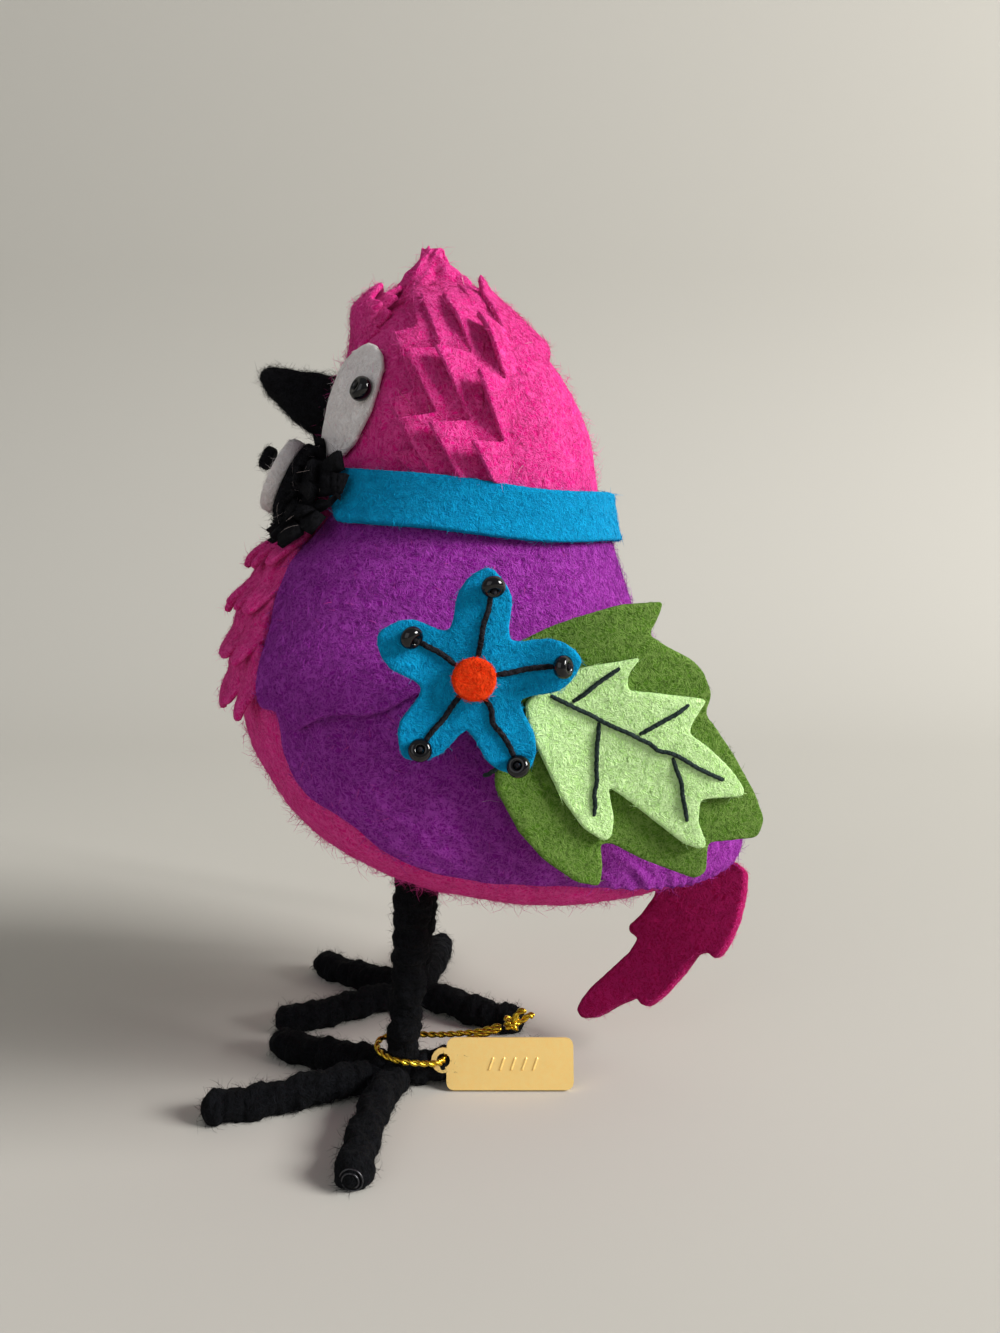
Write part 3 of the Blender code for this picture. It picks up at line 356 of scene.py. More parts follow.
def make_fibre_group():
    """Matted wool: mottling, crossing fibres that catch the light, and a few dark flecks."""
    group = bpy.data.node_groups.new("matted_fibres", "ShaderNodeTree")
    for name in ("Colour", "Light", "Dark"):
        group.interface.new_socket(name, in_out="INPUT", socket_type="NodeSocketColor")
    for name in ("Grain", "Streaks", "Mottling", "Flecks"):
        group.interface.new_socket(name, in_out="INPUT", socket_type="NodeSocketFloat")
    group.interface.new_socket("Colour", in_out="OUTPUT", socket_type="NodeSocketColor")
    group.interface.new_socket("Height", in_out="OUTPUT", socket_type="NodeSocketFloat")
    given = node(group, "NodeGroupInput").outputs
    result = node(group, "NodeGroupOutput")

    def calculate(operation, *values):
        return node(group, "ShaderNodeMath", dict(enumerate(values)), operation=operation).outputs[0]

    def ramp(value, low, high, at_low=0.0, at_high=1.0):
        feeds = {0: value, 1: low, 2: high, 3: at_low, 4: at_high}
        return node(group, "ShaderNodeMapRange", feeds).outputs[0]

    def blend(share, first, second):
        return node(group, "ShaderNodeMix", {0: share, 6: first, 7: second}, data_type="RGBA").outputs[2]

    place = node(group, "ShaderNodeVectorMath", {0: node(group, "ShaderNodeTexCoord").outputs["Object"],
                                                 3: calculate("MULTIPLY", given["Grain"], 1000.0)},
                 operation="SCALE").outputs[0]
    drift = node(group, "ShaderNodeTexNoise", {"Vector": place, "Scale": 0.4, "Detail": 1.0})
    bent = node(group, "ShaderNodeVectorMath", {0: drift.outputs["Color"], 1: (2.2, 2.2, 2.2), 2: place},
                operation="MULTIPLY_ADD").outputs[0]
    strands = 0.0
    for turn in ((0.0, 0.3, 1.5), (0.0, 1.3, 1.6), (0.0, -0.8, 1.7), (0.0, 0.7, 0.4), (0.0, -0.4, -0.6)):
        laid = node(group, "ShaderNodeMapping", {"Vector": bent, "Rotation": turn, "Scale": (6.5, 0.8, 0.8)},
                    vector_type="TEXTURE")
        wave = node(group, "ShaderNodeTexNoise", {"Vector": laid.outputs[0], "Scale": 1.0, "Detail": 1.0})
        away = calculate("ABSOLUTE", calculate("SUBTRACT", wave.outputs["Fac"], 0.5))
        strands = calculate("MAXIMUM", ramp(away, 0.008, 0.035, 1.0, 0.0), strands)
    mottle = node(group, "ShaderNodeTexNoise", {"Vector": bent, "Scale": 1.5, "Detail": 5.0,
                                                "Roughness": 0.7})
    patch = ramp(mottle.outputs["Fac"], 0.34, 0.66)
    cloud = node(group, "ShaderNodeTexNoise", {"Vector": place, "Scale": 0.14, "Detail": 2.0})
    deep = ramp(calculate("ADD", patch, cloud.outputs["Fac"]), 0.3, 1.3, 1.0, 0.0)
    shaded = blend(calculate("MULTIPLY", deep, given["Mottling"]), given["Colour"], given["Dark"])
    streaked = blend(calculate("MULTIPLY", strands, given["Streaks"]), shaded, given["Light"])
    speck = node(group, "ShaderNodeTexNoise", {"Vector": bent, "Scale": 2.2, "Detail": 2.0})
    fleck = calculate("MULTIPLY", ramp(speck.outputs["Fac"], 0.56, 0.66), given["Flecks"])
    flecked = blend(fleck, streaked, given["Dark"])
    high = calculate("MULTIPLY_ADD", strands, 0.6, patch)
    group.links.new(flecked, result.inputs["Colour"])
    group.links.new(high, result.inputs["Height"])
    return group


matted_fibres = make_fibre_group()


def wool(name, colour, light, dark, grain=1.0, streaks=0.35, mottling=0.5, flecks=0.0, relief=0.0004,
         sheen=0.1):
    """A wool or felt finish, from its own colour and those of its light and dark fibres."""
    material, tree, shader = new_material(name)
    colour, light, dark = linear(*colour), linear(*light), linear(*dark)
    fibres = node(tree, "ShaderNodeGroup", node_tree=matted_fibres)
    for socket, value in (("Colour", colour), ("Light", light), ("Dark", dark), ("Grain", grain),
                          ("Streaks", streaks), ("Mottling", mottling), ("Flecks", flecks)):
        fibres.inputs[socket].default_value = value
    bump = node(tree, "ShaderNodeBump", {"Height": fibres.outputs["Height"], "Strength": 0.7,
                                         "Distance": relief})
    tree.links.new(fibres.outputs["Colour"], shader.inputs["Base Color"])
    tree.links.new(bump.outputs[0], shader.inputs["Normal"])
    shader.inputs["Roughness"].default_value = 0.95
    shader.inputs["Specular IOR Level"].default_value = 0.12
    shader.inputs["Sheen Weight"].default_value = sheen
    shader.inputs["Sheen Roughness"].default_value = 0.4
    shader.inputs["Sheen Tint"].default_value = light
    return material


def add_fuzz(source, count, length, stand, material, slot, seed, width=0.06, all_round=False):
    """Loose fibres on a piece's outer side, or all round it: thin ribbons that taper and curl.

    They are up to length long, and they rise off the piece by up to stand times their own length.
    """
    chance = np.random.default_rng(seed)
    a, b, c = triangles_of(source.data).transpose(1, 0, 2)
    normal = np.cross(b - a, c - a)
    area = np.linalg.norm(normal, axis=1) + 1e-12
    normal /= area[:, None]
    away = normal if all_round else (a - BODY_AXIS) * (1.0, 1.0, 0.0)
    area = area * (np.einsum("ij,ij->i", away, normal) > -0.2 * np.linalg.norm(away, axis=1))
    pick = chance.choice(len(area), count, p=area / area.sum())
    u, v = chance.random((2, count))
    over = u + v > 1.0
    u, v = np.where(over, 1 - u, u)[:, None], np.where(over, 1 - v, v)[:, None]
    root = a[pick] + (b[pick] - a[pick]) * u + (c[pick] - a[pick]) * v
    up = normal[pick]
    lie = np.cross(up, chance.normal(size=(count, 3)))
    lie /= np.linalg.norm(lie, axis=1)[:, None]
    aside = np.cross(up, lie)
    reach = (length * (0.35 + 0.65 * chance.random(count)))[:, None]
    rise = (stand * chance.random(count) ** 2)[:, None]
    curl = chance.normal(0.0, 0.55, count)[:, None]
    spin = chance.random(count)[:, None] * np.pi
    flat = (aside * np.cos(spin) + up * np.sin(spin)) * (width / 2)
    stations = LONG_FIBRE if length > 3.0 else SHORT_FIBRE
    points = []
    for share, slim in stations:
        middle = root + (lie * share + up * (rise * share * (1.6 - 0.6 * share) + 0.02)
                         + aside * curl * share ** 2) * reach
        points += [middle - flat * slim, middle + flat * slim]
    points = np.stack(points, axis=1).reshape(-1, 3)
    points[:, 2] = np.maximum(points[:, 2], 0.05)
    corners = 2 * len(stations)
    faces = [(s + r, s + r + 1, s + r + 3, s + r + 2) for s in range(0, corners * count, corners)
             for r in range(0, corners - 2, 2)]
    make_piece(f"{source.name}_fuzz_{seed}", points, faces, material, slot)


pink_wool = wool("pink_wool", **PINK, grain=0.9, streaks=0.4, mottling=0.45)
pink_strands = wool("pink_strands", (236, 74, 164), PINK["light"], PINK["colour"])
bottom, top = WOOL_SLICES[0, 0] - KEEL, WOOL_SLICES[-1, 0] + CROWN
ring_heights = bottom + (top - bottom) * (1 - np.cos(np.pi * np.arange(1, WOOL_RINGS) / WOOL_RINGS)) / 2
ring_angles = np.arange(WOOL_SIDES) * 360.0 / WOOL_SIDES
heights = np.concatenate(([bottom], np.repeat(ring_heights, WOOL_SIDES), [top]))
angles = np.concatenate(([0.0], np.tile(ring_angles, WOOL_RINGS - 1), [0.0]))
skin = on_wool(angles, heights, 0.0)
skin = on_wool(angles, heights, sum(high * lumps(skin, size, seed) for high, size, seed in WOOL_LUMPS))
last = len(skin) - 1
wool_faces = []
for j in range(WOOL_SIDES):
    k = (j + 1) % WOOL_SIDES
    wool_faces += [(0, 1 + k, 1 + j), (last, last - WOOL_SIDES + j, last - WOOL_SIDES + k)]
    wool_faces += [(1 + r * WOOL_SIDES + j, 1 + r * WOOL_SIDES + k, 1 + (r + 1) * WOOL_SIDES + k,
                    1 + (r + 1) * WOOL_SIDES + j) for r in range(WOOL_RINGS - 2)]
wool_body = make_piece("wool_body", skin, wool_faces, pink_wool, "pink_wool", "body")
add_fuzz(wool_body, 22000, 2.5, 1.1, pink_strands, "pink_wool", 3)


# Purple felt covers the shoulders and back: a cape with a scalloped hem lies over a cover
# that reaches down to the tail. Both are cut flat, wrapped round the wool and glued.
FELT = 1.2
WRAP = 0.6
EDGE_ROUND = 0.4
NARROWEST_SHEET = 10.0
CAPE_EDGE = (
    (44.7, 98.6), (41.5, 94.5), (42.3, 89.6), (44.2, 85.5), (44.2, 79.8), (43.9, 75.5), (45.5, 72.8),
    (50.5, 72.7), (53.8, 71.6), (56.0, 70.1), (59.2, 71.2), (64.5, 72.6), (69.8, 73.0), (74.1, 72.8),
    (79.1, 73.8), (83.5, 75.3), (89.0, 76.6), (98.0, 75.6), (106.0, 73.0), (113.0, 71.6), (122.0, 73.0),
    (134.0, 74.6), (146.0, 73.4), (153.0, 71.8), (164.0, 73.2), (180.0, 74.6),
)
CAPE_TOP = (
    (180.0, 102.6), (150.0, 102.8), (120.0, 103.6), (90.0, 105.0), (65.0, 106.0), (56.0, 106.0),
    (51.0, 105.0), (47.6, 102.6),
)
COVER_EDGE = (
    (47.5, 77.0), (48.8, 69.8), (48.0, 66.9), (48.7, 62.7), (50.4, 60.1), (55.6, 58.2), (59.2, 55.9),
    (61.4, 52.6), (64.5, 50.2), (68.5, 48.7), (72.5, 47.7), (77.5, 46.5), (84.5, 45.3), (93.0, 43.8),
    (108.3, 40.4), (118.2, 39.2), (132.1, 38.2), (146.8, 38.0), (165.0, 38.8), (180.0, 40.6),
)
PURPLE = dict(colour=(130, 22, 138), light=(186, 84, 196), dark=(92, 10, 100))


def even_outline(outline, step, rounding):
    """Points at even steps along a closed outline, with its corners a little rounded."""
    outline = np.asarray(outline, float)
    closed = np.vstack((outline, outline[:1]))
    reach = np.concatenate(([0.0], np.cumsum(np.linalg.norm(np.diff(closed, axis=0), axis=1))))
    count = max(16, round(reach[-1] / step))
    way = np.linspace(0.0, reach[-1], count, endpoint=False)
    even = np.column_stack([np.interp(way, reach, closed[:, k]) for k in (0, 1)])
    for _ in range(rounding):
        even = 0.5 * even + 0.25 * (np.roll(even, 1, axis=0) + np.roll(even, -1, axis=0))
    return even


def enclosed_area(outline):
    x, y = np.asarray(outline, float).T
    return 0.5 * float(np.sum(x * np.roll(y, -1) - np.roll(x, -1) * y))


def inside(points, outline):
    """Which points lie inside an outline."""
    here, there = outline, np.roll(outline, -1, axis=0)
    held = np.zeros(len(points), bool)
    for (x0, y0), (x1, y1) in zip(here, there):
        if y0 != y1:
            crosses = (y0 > points[:, 1]) != (y1 > points[:, 1])
            held ^= crosses & (points[:, 0] < (x1 - x0) * (points[:, 1] - y0) / (y1 - y0) + x0)
    return held


def ruffled(points, size, depth, seeds):
    """Points moved a little in all three directions, as lumps of one size."""
    return points + np.column_stack([lumps(points, size, seed) * depth for seed in seeds])


def flat_lumps(flat, size, seed):
    return lumps(np.column_stack((flat, np.zeros(len(flat)))), size, seed)


def cut_rim(outline, step, rounding, rough, seed):
    """The cut edge of a piece of felt, a little ragged, and the way out of it at each point."""
    rim = even_outline(outline, step, rounding)
    tangent = np.roll(rim, -1, axis=0) - np.roll(rim, 1, axis=0)
    outward = np.column_stack((tangent[:, 1], -tangent[:, 0]))
    outward /= np.linalg.norm(outward, axis=1)[:, None] + 1e-9
    return rim + outward * (flat_lumps(rim, 0.9, seed + 2.0) * rough)[:, None], outward


def fill_rim(rim, outward, spacing):
    """Flat triangles that fill a rim: their points, how far in each lies, and which are on it."""
    low, high = rim.min(axis=0), rim.max(axis=0)
    grid = []
    for number, row in enumerate(np.arange(low[1], high[1], spacing * 0.866)):
        along = np.arange(low[0] + spacing / 2 * (number % 2), high[0], spacing)
        grid.append(np.column_stack((along, np.full(len(along), row))))
    candidates = [(np.vstack(grid), spacing * 0.8)]
    candidates += [(rim - outward * inset, inset * 0.8) for inset in (0.1, 0.38)]
    edge = kdtree.KDTree(len(rim))
    for k, (x, y) in enumerate(rim):
        edge.insert((x, y, 0.0), k)
    edge.balance()
    kept, margins = [], []
    for points, margin in candidates:
        points = points[inside(points, rim)]
        off = np.array([edge.find((x, y, 0.0))[2] for x, y in points])
        kept.append(points[off > margin])
        margins.append(off[off > margin])
    flat = np.vstack([rim] + kept)
    off = np.concatenate([np.zeros(len(rim))] + margins)
    border = len(rim)
    spots, _, triangles, sources = geometry.delaunay_2d_cdt(
        [Vector(spot) for spot in flat], [(k, (k + 1) % border) for k in range(border)], [], 1, 1e-6)[:4]
    from_given = np.array([source[0] if source else -1 for source in sources])
    flat = np.array([tuple(spot) for spot in spots])
    off = np.where(from_given >= 0, off[from_given], 0.3)
    on_rim = (from_given >= 0) & (from_given < border)
    off[on_rim] = 0.0
    return flat, off, on_rim, triangles


def cut_felt(name, outline, place, material, slot, nodes, thickness=FELT, spacing=0.8, rounding=2,
             rough=0.05, seed=0.0):
    """A piece of felt cut to an outline: place puts its points, from flat and depth, on the bird."""
    if enclosed_area(outline) < 0.0:
        outline = outline[::-1]
    rim, outward = cut_rim(outline, spacing * 0.6, rounding, rough, seed)
    flat, off, on_rim, triangles = fill_rim(rim, outward, spacing)
    edge_share = np.clip(off / EDGE_ROUND, 0.0, 1.0)
    swell = (1.0 - (1.0 - edge_share) ** 3) ** 0.5
    upper = thickness * (0.5 + 0.5 * swell) + flat_lumps(flat, 2.4, seed) * 0.07 * swell
    lower = thickness * (0.5 - 0.5 * swell)
    within = ~on_rim
    points = np.vstack((place(flat[:, 0], flat[:, 1], upper),
                        place(flat[within, 0], flat[within, 1], lower[within])))
    under_side = np.where(on_rim, np.arange(len(flat)), len(flat) + np.cumsum(within) - 1)
    faces = [tuple(face) for face in triangles]
    faces += [tuple(int(under_side[k]) for k in face[::-1]) for face in triangles]
    piece = make_piece(name, points, faces, material, slot, *nodes)
    size = rim.max(axis=0) - rim.min(axis=0)
    if size.min() >= NARROWEST_SHEET:
        enclosed_area(rim) * 1e-6
    return piece


def both_sides(half):
    """A whole outline from its left half, given from the front to the back."""
    return list(half) + [(360.0 - angle, height) for angle, height in reversed(half)]


def drape(lift):
    """A placing function for felt that lies on the wool, a lift above it."""
    def place(across, height, depth):
        return on_wool(across / WRAP, height, lift(across / WRAP, height) + depth)
    return place


def slope(value, low, high):
    """From 0 at low to 1 at high, with soft ends."""
    share = np.clip((value - low) / (high - low), 0.0, 1.0)
    return share * share * (3 - 2 * share)


def cover_lift(angle, height):
    """The cover lies close, apart from shallow folds where it is pulled together over the tail."""
    around = np.minimum(angle, 360.0 - angle)
    pull = slope(around, 98.0, 108.0) * slope(-around, -146.0, -128.0) * slope(-height, -54.0, -45.0)
    fold = (0.5 + 0.5 * np.sin(around * 1.3 + 0.9 * np.sin(height * 0.4))) ** 2
    fold *= 0.35 + 0.65 * np.sin(around * 0.31 + 0.6) ** 2
    return 0.15 + 0.7 * pull * fold + 0.2 * np.sin(around * 0.4 + height * 0.3) ** 2


def cape_lift(angle, height):
    """The cape lies close at its top, and its hem stands out over the cover."""
    flare = slope(-height, -80.0, -72.0)
    return 0.2 + 1.35 * slope(-height, -86.0, -77.5) + 0.3 * flare * (1 + np.sin(angle * 0.21))


def wrapped(outline):
    return [(angle * WRAP, height) for angle, height in outline]


purple_felt = wool("purple_felt", **PURPLE, streaks=0.5, mottling=0.4)
purple_strands = wool("purple_strands", (158, 52, 168), PURPLE["light"], PURPLE["colour"])
cover_outline = both_sides(COVER_EDGE) + [(180.0, COVER_EDGE[0][1])]
cover = cut_felt("purple_cover", wrapped(cover_outline), drape(cover_lift), purple_felt, "purple_felt",
                 ["back_cover"], seed=1.0)
cape_top_right = [(360.0 - angle, height) for angle, height in reversed(CAPE_TOP)]
cape_outline = both_sides(CAPE_EDGE) + cape_top_right[:-1] + list(CAPE_TOP)
cape = cut_felt("purple_cape", wrapped(cape_outline), drape(cape_lift), purple_felt, "purple_felt",
                ["cape"], seed=2.0)
add_fuzz(cover, 9000, 2.4, 0.5, purple_strands, "purple_felt", 11)
add_fuzz(cape, 14000, 2.4, 0.5, purple_strands, "purple_felt", 12)
pale_strands = wool("pale_strands", (226, 210, 206), (240, 230, 226), (200, 170, 176))
add_fuzz(cape, 16, 4.0, 0.4, pale_strands, "purple_felt", 14)
add_fuzz(cover, 12, 4.5, 0.4, pale_strands, "purple_felt", 15)


# The collar is a strip of turquoise felt round the neck, over the cape's top edge. It drops
# a little towards the back, and its slanting ends stop on both sides of the rosette.
COLLAR_HEIGHT, COLLAR_DROP = 104.2, 2.4
COLLAR_WIDTH, COLLAR_LIFT = 8.9, 1.9
COLLAR_FRONT, COLLAR_SLANT = 37.0, 18.0
TURQUOISE = dict(colour=(0, 138, 192), light=(4, 178, 230), dark=(0, 92, 140))


def collar_line(angle):
    return COLLAR_HEIGHT + COLLAR_DROP * np.cos(np.radians(angle))


def on_neck(across, height, depth):
    angle = across / WRAP
    return on_wool(angle, collar_line(angle) + height + 0.25 * np.sin(angle * 0.09), COLLAR_LIFT + depth)


turquoise_felt = wool("turquoise_felt", **TURQUOISE, streaks=0.32, mottling=0.4)
turquoise_strands = wool("turquoise_strands", TURQUOISE["light"], TURQUOISE["light"], TURQUOISE["colour"])
collar_low, collar_high = COLLAR_FRONT + COLLAR_SLANT, COLLAR_FRONT
collar_outline = [(collar_low, -COLLAR_WIDTH / 2), (360.0 - collar_low, -COLLAR_WIDTH / 2),
                  (360.0 - collar_high, COLLAR_WIDTH / 2), (collar_high, COLLAR_WIDTH / 2)]
collar = cut_felt("collar_ribbon", wrapped(collar_outline), on_neck, turquoise_felt, "turquoise_felt",
                  ["collar"], thickness=1.4, spacing=0.7, rounding=1, seed=3.0)
add_fuzz(collar, 2200, 1.6, 0.3, turquoise_strands, "turquoise_felt", 13)


# Strips of pink felt, cut into teeth along one edge, cover the breast like shingles. The
# teeth hang down and stand off the wool at their tips.
BREAST_TIPS = (93.0, 85.5, 78.0, 70.5)
BREAST_SPAN = 42.0
TOOTH_DEPTH = 5.0


def breast_lift(tip):
    def lift(angle, height):
        return 0.35 + 2.3 * slope(-height, -(tip + 6.0), -tip) + 0.3 * np.sin(angle * 0.5 + tip)
    return lift


def pointed_tooth(left, right, notch, tip):
    """One tooth that hangs down, with a short side, a long side and a blunt point."""
    middle, half = (left + right) / 2, (right - left) / 2
    return [(middle + half * share, notch + (tip - notch) * drop) for share, drop in
            ((-1.0, 0.0), (-0.78, 0.5), (-0.45, 0.9), (-0.15, 1.0), (0.2, 0.85), (0.75, 0.3))]


pink_felt = wool("pink_felt", **PINK, streaks=0.42, mottling=0.55)
chance = np.random.default_rng(7)
for number, tip in enumerate(BREAST_TIPS):
    teeth = 8 + number % 2
    marks = np.linspace(-BREAST_SPAN, BREAST_SPAN, teeth + 1) + chance.normal(0.0, 0.5, teeth + 1)
    outline = []
    for left, right in zip(marks, marks[1:]):
        outline += pointed_tooth(left, right, tip + TOOTH_DEPTH + chance.normal(0.0, 0.3),
                                 tip + chance.normal(0.0, 0.5))
    outline += [(marks[-1], tip + TOOTH_DEPTH), (marks[-1], tip + 11.5), (marks[0], tip + 11.5)]
    if number == 0:
        outline[-2:] = [(marks[-1], tip + 7.5), (0.0, 98.5), (marks[0], tip + 7.5)]
    row = cut_felt(f"breast_strip_{number + 1}", wrapped(outline), drape(breast_lift(tip)), pink_felt,
                   "pink_felt", [f"breast_row_{number + 1}"], spacing=0.6, rounding=1,
                   seed=4.0 + number)
    add_fuzz(row, 1300, 1.8, 0.4, pink_strands, "pink_felt", 20 + number)


# More strips of toothed pink felt go over the head from ear to ear, and two short ones over
# the forehead. Each tooth has a short level top edge and a long front edge, and each strip
# laps over the one in front.
HEAD_AXIS = 108.0
HEAD_WRAP = 0.47
HEAD_STRIPS = (
    ("temple", 1.0, 0.0, 9.5, 3.0,
     ((37.0, 2.0, 5.2), (58.8, 1.4, 5.2), (78.0, 1.8, 5.4))),
    ("front", 2.3, 0.0, 15.4, 5.0,
     ((22.5, 5.4, 9.0), (45.7, 4.0, 8.8), (66.3, 3.4, 8.4), (88.0, 4.6, 8.2))),
    ("middle", 3.1, 0.0, 22.0, 9.0,
     ((23.5, 8.6, 12.6), (46.8, 8.2, 13.4), (69.0, 7.6, 13.4), (90.0, 8.6, 12.0))),
    ("rear", 3.7, 2.9, 25.6, 14.0,
     ((12.0, 13.2, 16.4), (33.5, 13.4, 17.8), (54.0, 13.8, 18.4), (76.0, 13.2, 18.2))),
)
BROW_STRIPS = ((0.6, -8.2, 26.0, -0.45, 3.8), (2.6, -4.8, 22.0, -0.35, 1.8))


def on_head(turn, along, lift):
    """Points over the head, turned about an axis that runs from front to back."""
    turn, along = np.radians(turn), np.asarray(along, float)
    away = np.column_stack((np.sin(turn), np.zeros(len(turn)), np.cos(turn)))
    start = np.column_stack((np.zeros(len(turn)), along, np.full(len(turn), HEAD_AXIS)))
    low, high = np.zeros(len(turn)), np.full(len(turn), 60.0)
    for _ in range(22):
        middle = (low + high) / 2
        within = wool_field(start + away * middle[:, None]) < 0.0
        low, high = np.where(within, middle, low), np.where(within, high, middle)
    points = start + away * low[:, None]
    return points + wool_normal(points) * np.asarray(lift, float).reshape(-1, 1)


def over_head(lift):
    def place(across, along, depth):
        return on_head(across / HEAD_WRAP, along, lift(across / HEAD_WRAP, along) + depth)
    return place


def head_reach(along):
    """How far round the head a strip goes, to just behind the collar's top edge."""
    turns = np.linspace(60.0, 110.0, 120)
    points = on_head(turns, np.full(120, along), np.zeros(120))
    centre, half_length = wool_slice(points[:, 2])[:2]
    angle = np.degrees(np.arccos(np.clip((centre - along) / half_length, -1.0, 1.0)))
    return float(turns[np.argmax(points[:, 2] < collar_line(angle) + COLLAR_WIDTH / 2 - 0.4)])


def toothed_outline(middle, teeth, rear):
    """A head strip's outline: teeth, each a turn, a point and a notch, and a plain rear edge."""
    half = [(0.0, middle)]
    for turn, point, notch in teeth:
        reach = head_reach(point)
        if turn < reach - 2.0:
            half += [(turn - 1.2, notch), (turn - 0.2, (point + notch) / 2), (turn, point)]
    half += [(reach, point + 3.2)]
    half += [(head_reach(along), along) for along in np.arange(point + 5.0, rear, 2.0)]
    half += [(head_reach(rear), rear)]
    mirror = [(-turn, along) for turn, along in half[:0:-1]]
    return [(turn * HEAD_WRAP, along) for turn, along in half + mirror]


def strip_lift(tip, stand, curl):
    """How a head strip stands off the wool at its teeth, and curls up beside the crown."""
    def lift(turn, along):
        side = 0.1 + 0.9 * slope(np.abs(turn), 12.0, 44.0)
        beside = np.exp(-((np.abs(turn) - 11.0) / 6.0) ** 2 - ((along - 12.8) / 2.6) ** 2)
        return (0.3 + stand * side * slope(-along, -(tip + 7.0), -tip) + 0.3 * np.sin(turn * 0.17 + tip) ** 2
                + curl * beside)
    return lift


def brow_lift(tip, root, low, high):
    """How a forehead strip lies at its root and sides and stands up at its tips."""
    def lift(turn, along):
        side = 1.0 - slope(np.abs(turn), 6.0, 25.0)
        return low + (high - low) * slope(along, root, root + 0.55 * (tip - root)) * side
    return lift


for number, (name, stand, curl, rear, middle, teeth) in enumerate(HEAD_STRIPS):
    strip = cut_felt("head_strip_" + name, toothed_outline(middle, teeth, rear),
                     over_head(strip_lift(teeth[1][1], stand, curl)), pink_felt, "pink_felt",
                     ["head_band_" + name] if number else [], thickness=1.4, spacing=0.7,
                     rounding=1, seed=8.0 + number)
    add_fuzz(strip, 3200, 2.0, 0.5, pink_strands, "pink_felt", 30 + number)
    add_fuzz(strip, 8, 3.4, 0.5, pale_strands, "pink_felt", 80 + number, 0.05)
for number, (tip, root, side_turn, low_stand, high_stand) in enumerate(BROW_STRIPS):
    half = [(0.0, tip - 0.6)]
    for share in (0.3, 0.62, 0.92):
        half += [(side_turn * share - 4.0, tip - 3.6 * share), (side_turn * share, tip - 2.4 * share ** 2)]
    half += [(side_turn, root + 2.4), (side_turn * 0.9, root + 0.6), (0.0, root)]
    half += [(-turn, along) for turn, along in half[-2:0:-1]]
    brow = cut_felt(f"forehead_strip_{number + 1}", [(turn * HEAD_WRAP, along) for turn, along in half],
                    over_head(brow_lift(tip, root, low_stand, high_stand)), pink_felt, "pink_felt", [],
                    thickness=1.0, spacing=0.6, rounding=1, seed=14.0 + number)
    add_fuzz(brow, 1200, 2.0, 0.6, pink_strands, "pink_felt", 35 + number)


# The crest is a lock of pink felt that is folded up into a ragged peak on top of the head.
# Its base spreads over the crown. Two small tongues of felt stand at its tip, and two lower.
CREST_SPINE = ((5.0, 137.6), (6.0, 141.4), (6.0, 143.9), (6.0, 146.6), (6.9, 148.6))
CREST_HALF_LENGTH = (9.6, 7.2, 5.1, 2.7, 1.5)
CREST_HALF_WIDTH = (8.6, 6.0, 4.2, 3.0, 1.6)
CREST_TOP, CREST_FLOOR = (0.0, 6.2, 149.0), (0.0, 1.8, 137.0)
CREST_RINGS, CREST_SIDES = 34, 60
crest_points = []
for ring in range(CREST_RINGS):
    share = ring / (CREST_RINGS - 1) * 4.0
    along, height, length, width = (np.interp(share, range(5), values) for values in (
        *zip(*CREST_SPINE), CREST_HALF_LENGTH, CREST_HALF_WIDTH))
    turn = full_turn(CREST_SIDES)
    fold = 1.0 + 0.13 * np.sin(5 * turn + share * 0.9) + 0.06 * np.sin(11 * turn - share * 1.7)
    crest_points.append(np.column_stack((width * fold * np.sin(turn), along - length * fold * np.cos(turn),
                                         np.full(CREST_SIDES, height) - 1.4 * np.cos(turn) * (length / 7.4))))
crest_points = ruffled(np.vstack(crest_points + [CREST_TOP, CREST_FLOOR]), 1.6, 0.3, (1.0, 2.0, 3.0))
crest_faces = []
top_ring = (CREST_RINGS - 1) * CREST_SIDES
for j in range(CREST_SIDES):
    k = (j + 1) % CREST_SIDES
    crest_faces += [(r * CREST_SIDES + j, (r + 1) * CREST_SIDES + j, (r + 1) * CREST_SIDES + k,
                     r * CREST_SIDES + k) for r in range(CREST_RINGS - 1)]
    crest_faces += [(top_ring + j, CREST_RINGS * CREST_SIDES, top_ring + k),
                    (j, k, CREST_RINGS * CREST_SIDES + 1)]
crest = make_piece("crest_lock", crest_points, crest_faces, pink_felt, "pink_felt", "crest")
add_fuzz(crest, 900, 2.4, 0.8, pink_strands, "pink_felt", 40)
TONGUES = (((1.2, 5.0, 143.6), (5.6, 149.3), 1.6, -0.6), ((0.2, 7.0, 143.4), (8.2, 148.8), 1.6, 0.2),
           ((3.2, 9.4, 138.6), (8.0, 147.2), 2.8, -2.2), ((3.4, 1.8, 138.4), (6.0, 146.4), 2.8, -2.4))
TONGUE_EDGE = ((-1.0, -0.5), (1.0, -0.5), (0.8, 0.45), (0.5, 0.95), (0.1, 0.86), (-0.35, 1.02), (-0.75, 0.5))
TONGUE_LENGTH = 4.0
TONGUE_THICKNESS = 1.0


def blade(start, end, lean):
    """A placing function for a small upright tongue of felt, with its face to the side."""
    start = np.array(start)
    rise = np.array((lean, end[0] - start[1], end[1] - start[2]))
    face = np.cross((0.25, 1.0, 0.0), rise)
    face /= np.linalg.norm(face)
    side = np.cross(face, rise)
    side /= np.linalg.norm(side)

    def place(across, up, depth):
        reach = up[:, None] / TONGUE_LENGTH
        bend = face * (reach ** 2 * 0.6)
        return start + rise * reach + bend + side * across[:, None] + face * (depth[:, None] - 0.6)
    return place


